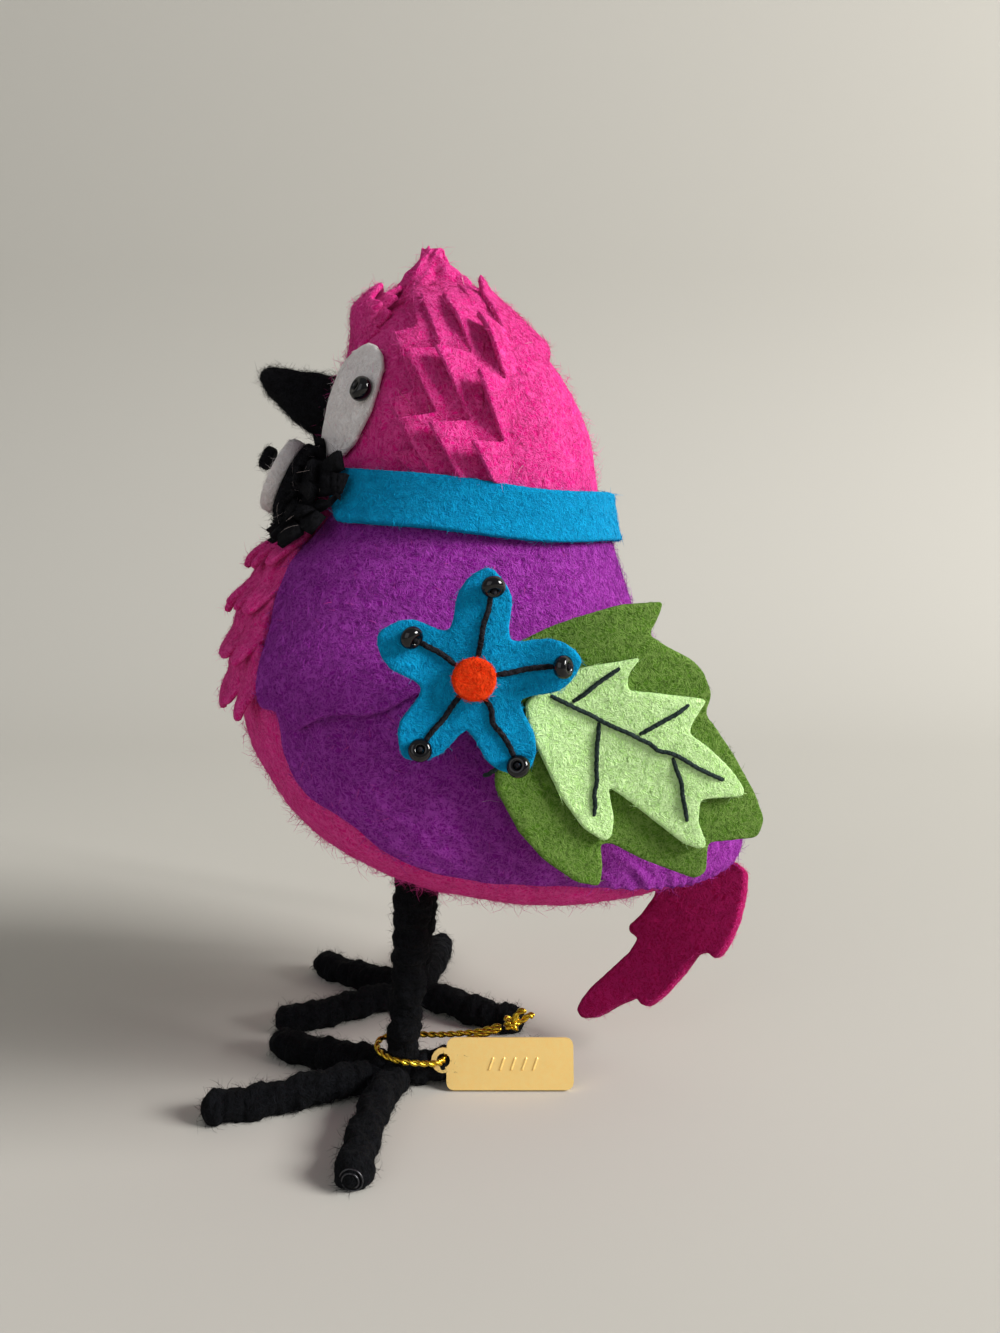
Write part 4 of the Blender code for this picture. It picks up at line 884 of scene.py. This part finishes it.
for number, (start, end, half_width, lean) in enumerate(TONGUES):
    tongue = [(half_width * across, TONGUE_LENGTH * up) for across, up in TONGUE_EDGE]
    cut_felt(f"crest_tongue_{number + 1}", tongue, blade(start, end, lean), pink_felt, "pink_felt", [],
             thickness=TONGUE_THICKNESS, spacing=0.5, rounding=1, seed=50.0 + number)


# The beak is a blunt wedge of black wool, felted by hand and very fuzzy. It is sewn on
# between the eyes, and its end is cut off nearly straight.
BEAK_BASE = ((-8.4, 127.0), (-13.6, 116.2))
BEAK_TIP = ((-23.6, 129.2), (-23.3, 124.7))
BEAK_HALF_WIDTH = (6.2, 2.0)
BEAK_ROUND_FROM, BEAK_ROUND_LENGTH = 0.86, 1.2
BEAK_RINGS, BEAK_SIDES = 40, 48
black_wool = wool("black_wool", (9, 9, 12), (40, 40, 46), (4, 4, 5), streaks=0.3, sheen=0.02)
black_strands = wool("black_strands", (16, 16, 20), (44, 44, 52), (6, 6, 8), sheen=0.02)
beak_points = []
(y0, z0), (y1, z1) = BEAK_BASE
(y2, z2), (y3, z3) = BEAK_TIP
turn = full_turn(BEAK_SIDES)
for ring in range(BEAK_RINGS + 1):
    share = ring / BEAK_RINGS
    swell = math.sin(math.pi * share)
    upper = np.array((0.0, y0 + (y2 - y0) * share, z0 + (z2 - z0) * share - 0.2 * swell))
    under = np.array((0.0, y1 + (y3 - y1) * share - 0.5 * swell, z1 + (z3 - z1) * share - 0.7 * swell))
    width = BEAK_HALF_WIDTH[0] * (1 - share) + BEAK_HALF_WIDTH[1] * share + 0.5 * swell
    rounded = max(0.0, (share - BEAK_ROUND_FROM) / (1.0 - BEAK_ROUND_FROM))
    close = math.sqrt(max(0.0, 1.0 - rounded ** 2))
    push = np.array((0.0, -BEAK_ROUND_LENGTH * rounded, 0.0))
    middle, half = (upper + under) / 2, (upper - under) / 2
    pinch = 1.0 - 0.18 * np.cos(turn)
    ring_points = middle + push + half * (np.cos(turn) * close)[:, None]
    ring_points[:, 0] += width * np.sin(turn) * pinch * close
    beak_points.append(ring_points)
beak_points = ruffled(np.vstack(beak_points), 2.0, 0.28, (4.0, 5.0, 6.0))
beak_faces = []
for r in range(0, BEAK_RINGS * BEAK_SIDES, BEAK_SIDES):
    for j in range(BEAK_SIDES):
        k = (j + 1) % BEAK_SIDES
        beak_faces.append((r + j, r + k, r + BEAK_SIDES + k, r + BEAK_SIDES + j))
beak_faces.append(tuple(range(BEAK_SIDES))[::-1])
beak = make_piece("felted_beak", beak_points, beak_faces, black_wool, "black_felt", "beak")
add_fuzz(beak, 4200, 1.7, 0.9, black_strands, "black_felt", 41, 0.05)


# Each eye is a long oval of white felt that leans back, with a black seed bead sewn on near
# its rear edge.
EYE_PATCH = ((42.7, 130.1), (48.0, 130.4), (54.0, 129.8), (59.0, 128.4), (61.2, 126.4), (60.4, 123.1),
             (57.2, 119.5), (52.8, 117.1), (47.8, 114.4), (40.4, 112.3), (28.0, 112.6), (17.0, 114.6),
             (20.0, 117.0), (25.0, 119.8), (28.0, 123.3), (29.0, 127.0), (34.2, 129.0))
EYE_ANGLE, EYE_HEIGHT, EYE_LIFT, EYE_SIZE = 54.3, 122.5, 2.2, 1.2
SIDES = (("left", 1.0), ("right", -1.0))
BEAD_PROFILE = ((0.5, -0.62), (0.62, -0.88), (0.95, -1.05), (1.35, -0.92), (1.65, -0.5), (1.75, 0.0),
                (1.65, 0.5), (1.35, 0.92), (0.95, 1.05), (0.62, 0.88), (0.5, 0.62), (0.46, 0.0))
BEAD_SIDES = 28


def seed_bead(centre, axis, scale=1.0):
    """A glass seed bead, turned from its profile of radius and height."""
    axis = np.asarray(axis, float) / np.linalg.norm(axis)
    first = np.cross(axis, (0.31, 0.52, 0.79))
    first /= np.linalg.norm(first)
    second = np.cross(axis, first)
    turn = full_turn(BEAD_SIDES)
    out = first[None] * np.cos(turn)[:, None] + second[None] * np.sin(turn)[:, None]
    points = np.vstack([np.asarray(centre) + (out * radius + axis * height) * scale
                        for radius, height in BEAD_PROFILE])
    faces = []
    for r in range(len(BEAD_PROFILE)):
        here, there = r * BEAD_SIDES, (r + 1) % len(BEAD_PROFILE) * BEAD_SIDES
        for j in range(BEAD_SIDES):
            k = (j + 1) % BEAD_SIDES
            faces.append((here + j, here + k, there + k, there + j))
    return points, faces


black_glass, tree, shader = new_material("black_glass")
ripple = cloudy(tree, 900.0, 2.0)
smear = node(tree, "ShaderNodeMapRange", {0: ripple.outputs["Fac"], 1: 0.3, 2: 0.7, 3: 0.03, 4: 0.12})
tint = node(tree, "ShaderNodeMix", {0: ripple.outputs["Fac"], 6: linear(3, 3, 5), 7: linear(9, 9, 12)},
            data_type="RGBA")
tree.links.new(smear.outputs[0], shader.inputs["Roughness"])
tree.links.new(tint.outputs[2], shader.inputs["Base Color"])
shader.inputs["Specular IOR Level"].default_value = 0.42
white_felt = wool("white_felt", (252, 242, 240), (255, 254, 254), (214, 202, 208), streaks=0.5)
for side, sign in SIDES:
    def on_face(across, height, depth, sign=sign):
        points = on_wool(across / WRAP, height, 0.35 + depth)
        return points * (sign, 1.0, 1.0)
    patch = cut_felt("eye_felt_" + side, wrapped(EYE_PATCH), on_face, white_felt, "white_felt",
                     ["eye_patch_" + side], thickness=1.0, spacing=0.6, seed=60.0)
    add_fuzz(patch, 500, 1.3, 0.3, white_felt, "white_felt", 42)
    spot = on_wool([EYE_ANGLE], [EYE_HEIGHT], EYE_LIFT)[0] * (sign, 1.0, 1.0)
    facing = wool_normal(spot[None])[0] + np.array((0.0, -0.45, 0.25))
    make_piece("eye_bead_" + side, *seed_bead(spot, facing, EYE_SIZE), black_glass, "black_glass",
               "eye_" + side)


# The rosette at the throat: strips of black felt with ragged ends, fanned out and glued to
# the breast, then a felt pad, a thick round of white felt and a small black button.
FRINGE_COUNT, FRINGE_STEPS = 84, 6
FRINGE_REACH = (25.2, 9.8)
FRINGE_DROOP = 4.2
COLLAR_RISE = 2.9
THROAT_RADIUS = 24.8
FRINGE_LAYERS = ((0.5, 1.0, 0.7), (0.28, 0.84, 1.9), (0.05, 0.64, 3.0))
PUFF_HEIGHT = 106.9
DISC_TILT = math.radians(26.6)
PAD_RADIUS, PAD_THICKNESS, PAD_DEPTH = 7.4, 3.0, 4.4
DISC_RADIUS, DISC_THICKNESS = 7.05, 2.6
BUTTON_RADIUS, BUTTON_THICKNESS = 2.2, 1.9
DISC_CENTRE = np.array((0.0, -20.9, 109.7))
BUTTON_CENTRE = np.array((0.0, -22.9, 112.6))
tilt_out = np.array((0.0, -math.cos(DISC_TILT), math.sin(DISC_TILT)))
tilt_up = np.array((0.0, math.sin(DISC_TILT), math.cos(DISC_TILT)))


def squared(part):
    """A sine or cosine drawn out, so the fringe is fuller than an oval at its corners."""
    return math.copysign(abs(part) ** 0.7, part)


def fringe_strip(turn, near, far, layer, wide, bias):
    """One ragged strip of felt that points out from the rosette, and rises over the collar."""
    box = []
    for k in range(FRINGE_STEPS + 1):
        share = k / FRINGE_STEPS
        out = near + (far - near) * share
        for edge in (-1.0, 1.0):
            ragged = wide * edge * (1.0 + 0.1 * chance.normal())
            for thick in (0.0, 1.0):
                aim = turn + bias * share
                across = FRINGE_REACH[0] * out * squared(math.cos(aim)) - ragged * math.sin(turn)
                up = FRINGE_REACH[1] * out * squared(math.sin(aim)) + ragged * math.cos(turn)
                up -= FRINGE_DROOP * (across / FRINGE_REACH[0]) ** 2
                over_collar = COLLAR_RISE * float(slope(abs(across), 12.0, 16.0))
                rise = layer * 0.8 + thick * 1.1 + 1.2 * share * share + over_collar + 0.12 * chance.normal()
                box.append(on_wool([math.degrees(across / THROAT_RADIUS)], [PUFF_HEIGHT + up], rise)[0])
    faces = []
    for s in range(0, 4 * FRINGE_STEPS, 4):
        faces += [(s, s + 4, s + 5, s + 1), (s + 2, s + 3, s + 7, s + 6), (s, s + 2, s + 6, s + 4),
                  (s + 1, s + 5, s + 7, s + 3)]
    end = 4 * FRINGE_STEPS
    faces += [(0, 1, 3, 2), (end, end + 2, end + 3, end + 1)]
    return np.array(box), faces


strips = []
for number in range(FRINGE_COUNT):
    turn = 2 * math.pi * (number + 0.6 * chance.normal()) / FRINGE_COUNT * len(FRINGE_LAYERS)
    near, far, layer = FRINGE_LAYERS[number % len(FRINGE_LAYERS)]
    near, far = near + 0.06 * chance.normal(), far + 0.05 * chance.normal()
    wide, bias = 1.3 + 0.5 * chance.random(), 0.3 * chance.normal()
    strips.append(fringe_strip(turn, near, far, layer, wide, bias))
fringe = make_piece("rosette_fringe", *join(strips), black_wool, "black_felt", "rosette_puff")
add_fuzz(fringe, 6500, 1.9, 0.9, black_strands, "black_felt", 43)
add_fuzz(fringe, 110, 3.2, 1.0, pale_strands, "black_felt", 143, 0.05)


def on_disc(centre):
    """A placing function for a round of felt that faces forward and a little up."""
    def place(across, up, depth):
        return (centre + across[:, None] * np.array((1.0, 0.0, 0.0)) + up[:, None] * tilt_up
                + depth[:, None] * tilt_out)
    return place


def circle(radius, count=48):
    return [(radius * math.cos(t), radius * math.sin(t)) for t in full_turn(count)]


pad = cut_felt("rosette_pad", circle(PAD_RADIUS), on_disc(DISC_CENTRE - tilt_out * PAD_DEPTH), black_wool,
               "black_felt", [], thickness=PAD_THICKNESS, spacing=0.8, rough=0.3, seed=60.5)
disc = cut_felt("rosette_round", circle(DISC_RADIUS), on_disc(DISC_CENTRE - tilt_out * DISC_THICKNESS / 2),
                white_felt, "white_felt", ["rosette_disc"], thickness=DISC_THICKNESS, spacing=0.6,
                seed=61.0)
add_fuzz(disc, 700, 1.4, 0.5, white_felt, "white_felt", 44)
button = cut_felt("rosette_knob", circle(BUTTON_RADIUS, 24), on_disc(BUTTON_CENTRE - tilt_out * 0.2),
                  black_wool, "black_felt", ["rosette_button"], thickness=BUTTON_THICKNESS,
                  spacing=0.5, seed=62.0)
add_fuzz(button, 300, 1.2, 1.0, black_strands, "black_felt", 45)


# Two leaves of green felt lie on each side of the cape, a dark one under a light one. Veins
# of dark thread are sewn along the light leaf, and one stitch shows at the dark one's edge.
LEAF_OUT, LEAF_FRONT, LEAF_TURN = 40.4, 17.0, 11.0
LEAF_STEP = 1.55
DARK_LEAF = (
    (1.0, 82.0), (3.0, 84.3), (8.6, 86.9), (13.7, 88.6), (19.4, 90.1), (26.2, 90.4), (25.3, 88.0),
    (23.9, 85.5), (26.6, 83.7), (31.0, 81.4), (32.9, 79.5), (34.3, 75.9), (33.2, 73.0), (34.9, 71.0),
    (38.1, 66.4), (41.8, 60.2), (43.6, 55.6), (42.5, 52.8), (34.2, 52.5), (34.1, 47.6), (32.4, 46.5),
    (29.6, 47.6), (24.2, 49.9), (18.8, 53.0), (16.9, 53.3), (17.3, 49.4), (16.8, 46.4), (13.0, 47.4),
    (7.9, 51.3), (4.0, 55.9), (0.3, 63.1), (0.6, 72.0),
)
LIGHT_LEAF = (
    (4.8, 76.0), (9.2, 79.0), (13.7, 81.0), (19.4, 81.8), (22.5, 82.3), (20.4, 79.7), (20.6, 77.3),
    (25.0, 76.8), (33.2, 75.5), (30.7, 71.8), (30.3, 70.4), (33.4, 68.2), (37.2, 64.7), (39.6, 61.5),
    (39.6, 60.0), (32.4, 60.0), (32.2, 56.5), (33.8, 52.6), (32.6, 51.8), (29.8, 53.1), (25.5, 56.6),
    (20.4, 60.8), (17.9, 62.5), (18.9, 57.9), (18.6, 54.6), (17.4, 53.9), (14.0, 56.3), (10.2, 61.7),
    (7.7, 67.1), (5.4, 71.8),
)
VEINS = (((8.8, 77.0), (36.4, 62.8)), ((12.2, 75.8), (19.5, 80.9)), ((16.4, 72.8), (15.8, 58.0)),
         ((22.5, 70.5), (30.5, 75.0)), ((27.9, 67.0), (30.6, 56.5)))
STITCH = ((-1.3, 65.0), (1.4, 66.6))
dark_green_felt = wool("dark_green_felt", (88, 128, 40), (150, 176, 100), (44, 78, 14), mottling=0.6,
                       flecks=0.5)
light_green_felt = wool("light_green_felt", (200, 246, 156), (232, 255, 206), (136, 178, 98), streaks=0.4,
                        mottling=0.3, flecks=0.5)
dark_thread = wool("dark_thread", (28, 42, 40), (70, 84, 82), (12, 20, 20), streaks=0.4)


def flat_side(sign, out, front, turn):
    """A placing function for flat felt at the bird's side."""
    turn = math.radians(turn)

    def place(along, height, depth):
        return np.column_stack((sign * (out - along * math.sin(turn) + depth * math.cos(turn)),
                                front + along * math.cos(turn) + depth * math.sin(turn), height))
    return place


def on_leaf(sign, rise):
    """A placing function for a leaf, a little cupped, or for what lies a rise above it."""
    put = flat_side(sign, LEAF_OUT + rise, LEAF_FRONT, LEAF_TURN)

    def place(along, height, depth):
        cup = 0.35 * np.sin(along * 0.23 + height * 0.11) + 0.4 * slope(along, 26.0, 44.0)
        return put(along, height, depth + cup)
    return place


def thread_along(place, route, radius=0.34, wander=0.14):
    """A laid thread: its route is flat on a piece, and it wanders a little."""
    start, end = np.array(route[0], float), np.array(route[1], float)
    count = max(5, int(np.linalg.norm(end - start) / 1.6))
    share = np.linspace(0.0, 1.0, count)
    aside = np.array((start[1] - end[1], end[0] - start[0])) / np.linalg.norm(end - start)
    flat = start + (end - start) * share[:, None] + aside * (chance.normal(0.0, wander, count) * np.sin(
        np.pi * share))[:, None]
    rise = 0.12 + np.where((share > 0.02) & (share < 0.98), 0.12, -0.35)
    return tube(place(flat[:, 0], flat[:, 1], rise), THREAD_STEP, THREAD_SIDES,
                lambda way, turn, full: round_ends(way, full, radius) * (1 + 0.1 * np.sin(way * 6.0 + turn)))


for side, sign in SIDES:
    dark = cut_felt("dark_leaf_felt_" + side, DARK_LEAF, on_leaf(sign, 0.0), dark_green_felt,
                    "dark_green_felt", ["dark_leaf_" + side], rounding=3, seed=63.0)
    light = cut_felt("light_leaf_felt_" + side, LIGHT_LEAF, on_leaf(sign, LEAF_STEP), light_green_felt,
                     "light_green_felt", ["light_leaf_" + side], rounding=3, seed=64.0)
    veins = [thread_along(on_leaf(sign, LEAF_STEP + FELT), vein) for vein in VEINS]
    make_piece("leaf_veins_" + side, *join(veins), dark_thread, "black_yarn")
    make_piece("leaf_stitch_" + side, *thread_along(on_leaf(sign, FELT), STITCH), dark_thread, "black_yarn")
    add_fuzz(dark, 1500, 1.3, 0.25, dark_green_felt, "dark_green_felt", 46)
    add_fuzz(light, 900, 1.3, 0.25, light_green_felt, "light_green_felt", 47)


# A five-petalled flower of turquoise felt lies over the leaves' front ends. Black thread runs
# from a round of orange felt to a black seed bead near the tip of each petal.
FLOWER_ALONG, FLOWER_HEIGHT, FLOWER_TURN = 14.4, 80.2, 5.0
PETAL_TURNS = ((8.0, 0.99), (81.4, 1.0), (153.4, 0.94), (228.0, 0.96), (297.0, 1.02))
PETAL = ((6.2, -4.5), (7.6, -4.0), (9.5, -4.0), (11.8, -3.9), (13.6, -3.0), (15.0, -1.6), (15.9, -0.3),
         (16.0, 0.4), (15.2, 1.8), (13.8, 3.1), (11.8, 4.0), (9.5, 4.1), (7.6, 4.1), (6.2, 4.5))
BEAD_PLACES = ((2.7, 13.2), (-8.8, 6.1), (-7.8, -10.1), (6.3, -12.8), (12.7, 1.7))
BEAD_AXES = ((0.75, 0.15, -0.75), (0.6, 0.75, -0.5), (0.9, 0.1, 0.35), (0.9, -0.2, 0.4), (0.55, 0.85, 0.1))
FLOWER_RISE = 3.1
DOT_RADIUS = 3.2
BEAD_RISE = 1.25
FLOWER_THREAD = 0.42
flower_outline = []
for turn, length in PETAL_TURNS:
    aim = math.radians(turn)
    for reach, aside in PETAL:
        reach = reach if reach < 8.0 else 8.0 + (reach - 8.0) * (16.0 * length - 8.0) / 8.0
        flower_outline.append((reach * math.cos(aim) - aside * math.sin(aim),
                               reach * math.sin(aim) + aside * math.cos(aim)))
orange_felt = wool("orange_felt", (255, 58, 6), (255, 92, 34), (190, 30, 4), streaks=0.4, flecks=0.35)


def on_flower(sign, rise):
    """A placing function for the flower, a little cupped, or for what lies a rise above it."""
    put = flat_side(sign, LEAF_OUT + FLOWER_RISE, FLOWER_ALONG, FLOWER_TURN)

    def place(along, up, depth):
        away = np.hypot(along, up)
        cup = 0.05 * np.maximum(0.0, away - 6.0) + 0.25 * np.sin(along * 0.5 + 1.0)
        return put(along, FLOWER_HEIGHT + up, depth + rise + cup)
    return place


black_thread = wool("black_thread", (14, 14, 18), (64, 64, 72), (6, 6, 8), streaks=0.4)
for side, sign in SIDES:
    flower = cut_felt("flower_felt_" + side, flower_outline, on_flower(sign, 0.0), turquoise_felt,
                      "turquoise_felt", ["flower_" + side], spacing=0.6, rounding=2,
                      seed=65.0)
    add_fuzz(flower, 1400, 1.3, 0.3, turquoise_strands, "turquoise_felt", 48)
    dot = cut_felt("flower_heart_" + side, circle(DOT_RADIUS), on_flower(sign, FELT + 0.1), orange_felt,
                   "orange_felt", ["flower_dot_" + side], thickness=1.8, spacing=0.5, seed=66.0)
    add_fuzz(dot, 350, 1.0, 0.5, orange_felt, "orange_felt", 49)
    threads = []
    on_felt = on_flower(sign, FELT)
    for number, (along, up) in enumerate(BEAD_PLACES):
        away = math.hypot(along, up)
        route = ((along / away * 3.0, up / away * 3.0), (along * 0.93, up * 0.93))
        threads.append(thread_along(on_felt, route, FLOWER_THREAD, 0.2))
        centre = on_felt(np.array([along]), np.array([up]), BEAD_RISE)[0]
        axis = np.array(BEAD_AXES[number]) * (sign, 1.0, 1.0)
        make_piece(f"seed_bead_{side}_{number + 1}", *seed_bead(centre, axis), black_glass, "black_glass",
                   f"bead_{side}_{number + 1}")
        through = [centre + axis * share for share in (-1.5, -0.7, 0.7, 1.3)]
        threads.append(strand(through, FLOWER_THREAD))
    make_piece("flower_threads_" + side, *join(threads), black_thread, "black_yarn")


# The legs and toes are steel wire wrapped in black wool yarn, turn by turn and unevenly. At
# the tip of the left foot's outer toe the bent end of the wire shows.
FOOT_OUT = 15.4
LEG_TOP = (16.7, 3.4, 45.0)
LEG_RADIUS, TOE_RADIUS = 3.4, 2.75
YARN_PITCH, YARN_STEP = 1.7, 0.3
TOE_HEIGHTS = (2.7, 2.1)
TOES = {
    "left": ((27.2, -33.1), (46.8, -4.6), (3.6, -25.7), (8.0, 27.0)),
    "right": ((-31.7, -23.0), (-42.1, 4.1), (-3.6, -26.8), (-3.2, 23.0)),
}


def yarn(base, foot, seed):
    """The radius of a rod wrapped in yarn, with round turns that lie unevenly."""
    def radius(way, turn, full):
        size = round_ends(way, full, base) * (foot + (1 - foot) * (1 - way / full))
        wind = np.abs(np.sin(np.pi * way / YARN_PITCH + turn / 2)) ** 0.6
        knobs = np.sin(way * 1.25 + seed + 0.8 * np.sin(turn + seed)) * np.sin(way * 0.47 + 2.1 * seed)
        strands = np.sin(turn * 3 + way * 0.9 + seed) * 0.07
        return size * (1 + 0.09 * (wind - 0.6) + 0.1 * knobs + strands)
    return radius


yarn_black = wool("yarn_black", (5, 6, 8), (30, 32, 38), (2, 2, 3), grain=0.8, streaks=0.3, relief=0.0007,
                  sheen=0.01)
yarn_strands = wool("yarn_strands", (9, 10, 13), (34, 36, 42), (3, 3, 4), sheen=0.01)
for side, sign in SIDES:
    foot = np.array((sign * FOOT_OUT, 0.0, 1.0))
    top = np.array(LEG_TOP) * (sign, 1.0, 1.0)
    middle = (foot + top) / 2 + np.array((0.0, 0.4, 0.0))
    rods = [tube((top, middle, foot), YARN_STEP, 40, yarn(LEG_RADIUS, 0.78, 1.0 + sign))]
    hub = np.array((sign * FOOT_OUT, 0.0, TOE_HEIGHTS[0]))
    for number, (across, forward) in enumerate(TOES[side]):
        tip = np.array((across, forward, TOE_HEIGHTS[1]))
        bow = np.cross(tip - hub, (0.0, 0.0, 1.0)) * 0.035 * (1 if number % 2 else -1)
        route = (hub, hub + (tip - hub) * 0.35 + bow + (0.0, 0.0, 0.7), hub + (tip - hub) * 0.7 + bow, tip)
        rods.append(tube(route, YARN_STEP, 34, yarn(TOE_RADIUS, 1.04, 2.0 * number + sign)))
    points, faces = join(rods)
    points = ruffled(points, 1.3, 0.3, (7.0, 8.0, 9.0))
    points[:, 2] = np.maximum(points[:, 2], 0.0)
    leg = make_piece("leg_yarn_" + side, points, faces, yarn_black, "black_yarn", "leg_" + side)
    add_fuzz(leg, 8000, 1.8, 1.0, yarn_strands, "black_yarn", 70, all_round=True)
WIRE_POINTS, WIRE_BACK, WIRE_RADIUS = 22, (0.8, 0.2), 0.13
steel, tree, shader = new_material("wire_steel")
scuffs = cloudy(tree, 3000.0, 3.0)
gloss = node(tree, "ShaderNodeMapRange", {0: scuffs.outputs["Fac"], 3: 0.25, 4: 0.5})
grey = node(tree, "ShaderNodeMix", {0: scuffs.outputs["Fac"], 6: linear(44, 44, 48), 7: linear(96, 96, 100)},
            data_type="RGBA")
tree.links.new(gloss.outputs[0], shader.inputs["Roughness"])
tree.links.new(grey.outputs[2], shader.inputs["Base Color"])
shader.inputs["Metallic"].default_value = 1.0
wire_tip = np.array((*TOES["left"][1], TOE_HEIGHTS[1]))
wire_ahead = wire_tip - (FOOT_OUT, 0.0, TOE_HEIGHTS[0])
wire_ahead /= np.linalg.norm(wire_ahead)
wire_side = np.cross(wire_ahead, (0.0, 0.0, 1.0))
wire_up = np.cross(wire_side, wire_ahead)
coil = []
for k in range(WIRE_POINTS):
    back = WIRE_BACK[0] + (WIRE_BACK[1] - WIRE_BACK[0]) * k / (WIRE_POINTS - 1)
    reach = TOE_RADIUS * math.sqrt(1.0 - (1.0 - back / TOE_RADIUS) ** 2) + 0.02
    out = wire_side * math.cos(k * 0.5) + wire_up * math.sin(k * 0.5)
    coil.append(wire_tip - wire_ahead * back + out * reach)
make_piece("wire_end", *strand(coil, WIRE_RADIUS, 0.2), steel, "black_yarn")


# The tail is one feather of thick pink felt, with round lobes cut into its edges. It is glued
# under the rear of the body, hangs down and twists a little to the left.
TAIL_ROOT = np.array((0.0, 60.0, 33.0))
TAIL_SLOPE, TAIL_TWIST = math.radians(47.1), math.radians(38.0)
TAIL_THICKNESS = 2.8
TAIL_OUTLINE = (
    (10.9, -4.8), (15.6, -4.3), (18.7, -4.5), (19.5, -3.6), (18.9, -2.1), (21.9, -1.6), (27.0, -1.8),
    (32.1, -2.0), (35.4, -1.7), (37.7, -1.0), (37.9, 0.6), (35.2, 2.1), (30.6, 3.0), (26.8, 4.1),
    (27.1, 5.3), (26.0, 6.4), (22.3, 6.8), (16.1, 6.6), (12.0, 6.1), (10.4, 6.8), (10.3, 8.1),
    (9.0, 8.6), (5.9, 8.1), (1.8, 6.7), (-2.4, 4.5), (-5.4, 2.4), (-5.4, 0.6), (-3.6, -3.0),
    (1.0, -6.6), (6.0, -7.4),
)
tail_down = np.array((0.0, -math.cos(TAIL_SLOPE), -math.sin(TAIL_SLOPE)))
tail_rear = np.array((0.0, math.sin(TAIL_SLOPE), -math.cos(TAIL_SLOPE)))
tail_across = tail_rear * math.cos(TAIL_TWIST) + np.array((math.sin(TAIL_TWIST), 0.0, 0.0))
tail_face = np.cross(tail_down, tail_across)


def on_tail(along, aside, depth):
    along, aside, depth = along[:, None], aside[:, None], depth[:, None]
    return (TAIL_ROOT + tail_down * along + tail_across * (aside / math.cos(TAIL_TWIST))
            + tail_face * (depth - TAIL_THICKNESS / 2 + 0.5 * np.sin(along * 0.16)))


# The tail is the same pink felt as the body's, but all three of its colours are darker: painted shade, as the
# tail's face hangs turned away from the light.
tail_felt_painted_shade = wool("tail_felt_painted_shade", (164, 4, 78), (208, 46, 130), (112, 0, 48), streaks=0.4)
tail = cut_felt("tail_feather", TAIL_OUTLINE, on_tail, tail_felt_painted_shade, "pink_felt", ["tail"],
                thickness=TAIL_THICKNESS, spacing=0.6, rounding=2, seed=67.0)
add_fuzz(tail, 1600, 1.5, 0.4, pink_strands, "pink_felt", 71)


# A pale floor that sweeps up into a wall, and light as from a high window behind the tail,
# with a weaker light from in front of the bird that fills the shade.
SWEEP = [(2.5, 0.0), (-0.25, 0.0)] + [(-0.25 - 0.25 * math.sin(t), 0.25 - 0.25 * math.cos(t))
                                      for t in np.linspace(0.1, math.pi / 2, 14)] + [(-0.5, 2.0)]
floor = bpy.data.meshes.new("floor")
floor.from_pydata([(x, y, z) for x, z in SWEEP for y in (-3.0, 3.0)], [],
                  [(2 * k, 2 * k + 1, 2 * k + 3, 2 * k + 2) for k in range(len(SWEEP) - 1)])
floor.shade_smooth()
floor_object = bpy.data.objects.new("floor", floor)
bpy.context.scene.collection.objects.link(floor_object)
floor_material, tree, shader = new_material("pale_floor")
shader.inputs["Base Color"].default_value = linear(180, 178, 171)
shader.inputs["Roughness"].default_value = 0.9
shader.inputs["Specular IOR Level"].default_value = 0.1
floor.materials.append(floor_material)

world = bpy.data.worlds.new("studio")
world.use_nodes = True
world.node_tree.nodes["Background"].inputs["Color"].default_value = linear(214, 214, 216)
world.node_tree.nodes["Background"].inputs["Strength"].default_value = 0.36
bpy.context.scene.world = world
bpy.context.scene.view_settings.view_transform = "Standard"


def add_light(name, place, size, power, colour):
    light = bpy.data.lights.new(name, "AREA")
    light.size = size
    light.energy = power
    light.color = colour
    lamp = bpy.data.objects.new(name, light)
    lamp.location = place
    lamp.rotation_euler = (Vector((0.0, 0.0, 0.08)) - Vector(place)).to_track_quat("-Z", "Y").to_euler()
    bpy.context.scene.collection.objects.link(lamp)


add_light("window", (0.45, 1.75, 1.05), 0.8, 74.0, (1.0, 0.98, 0.96))
add_light("fill", (0.9, -0.7, 0.6), 1.0, 3.0, (0.96, 0.98, 1.0))
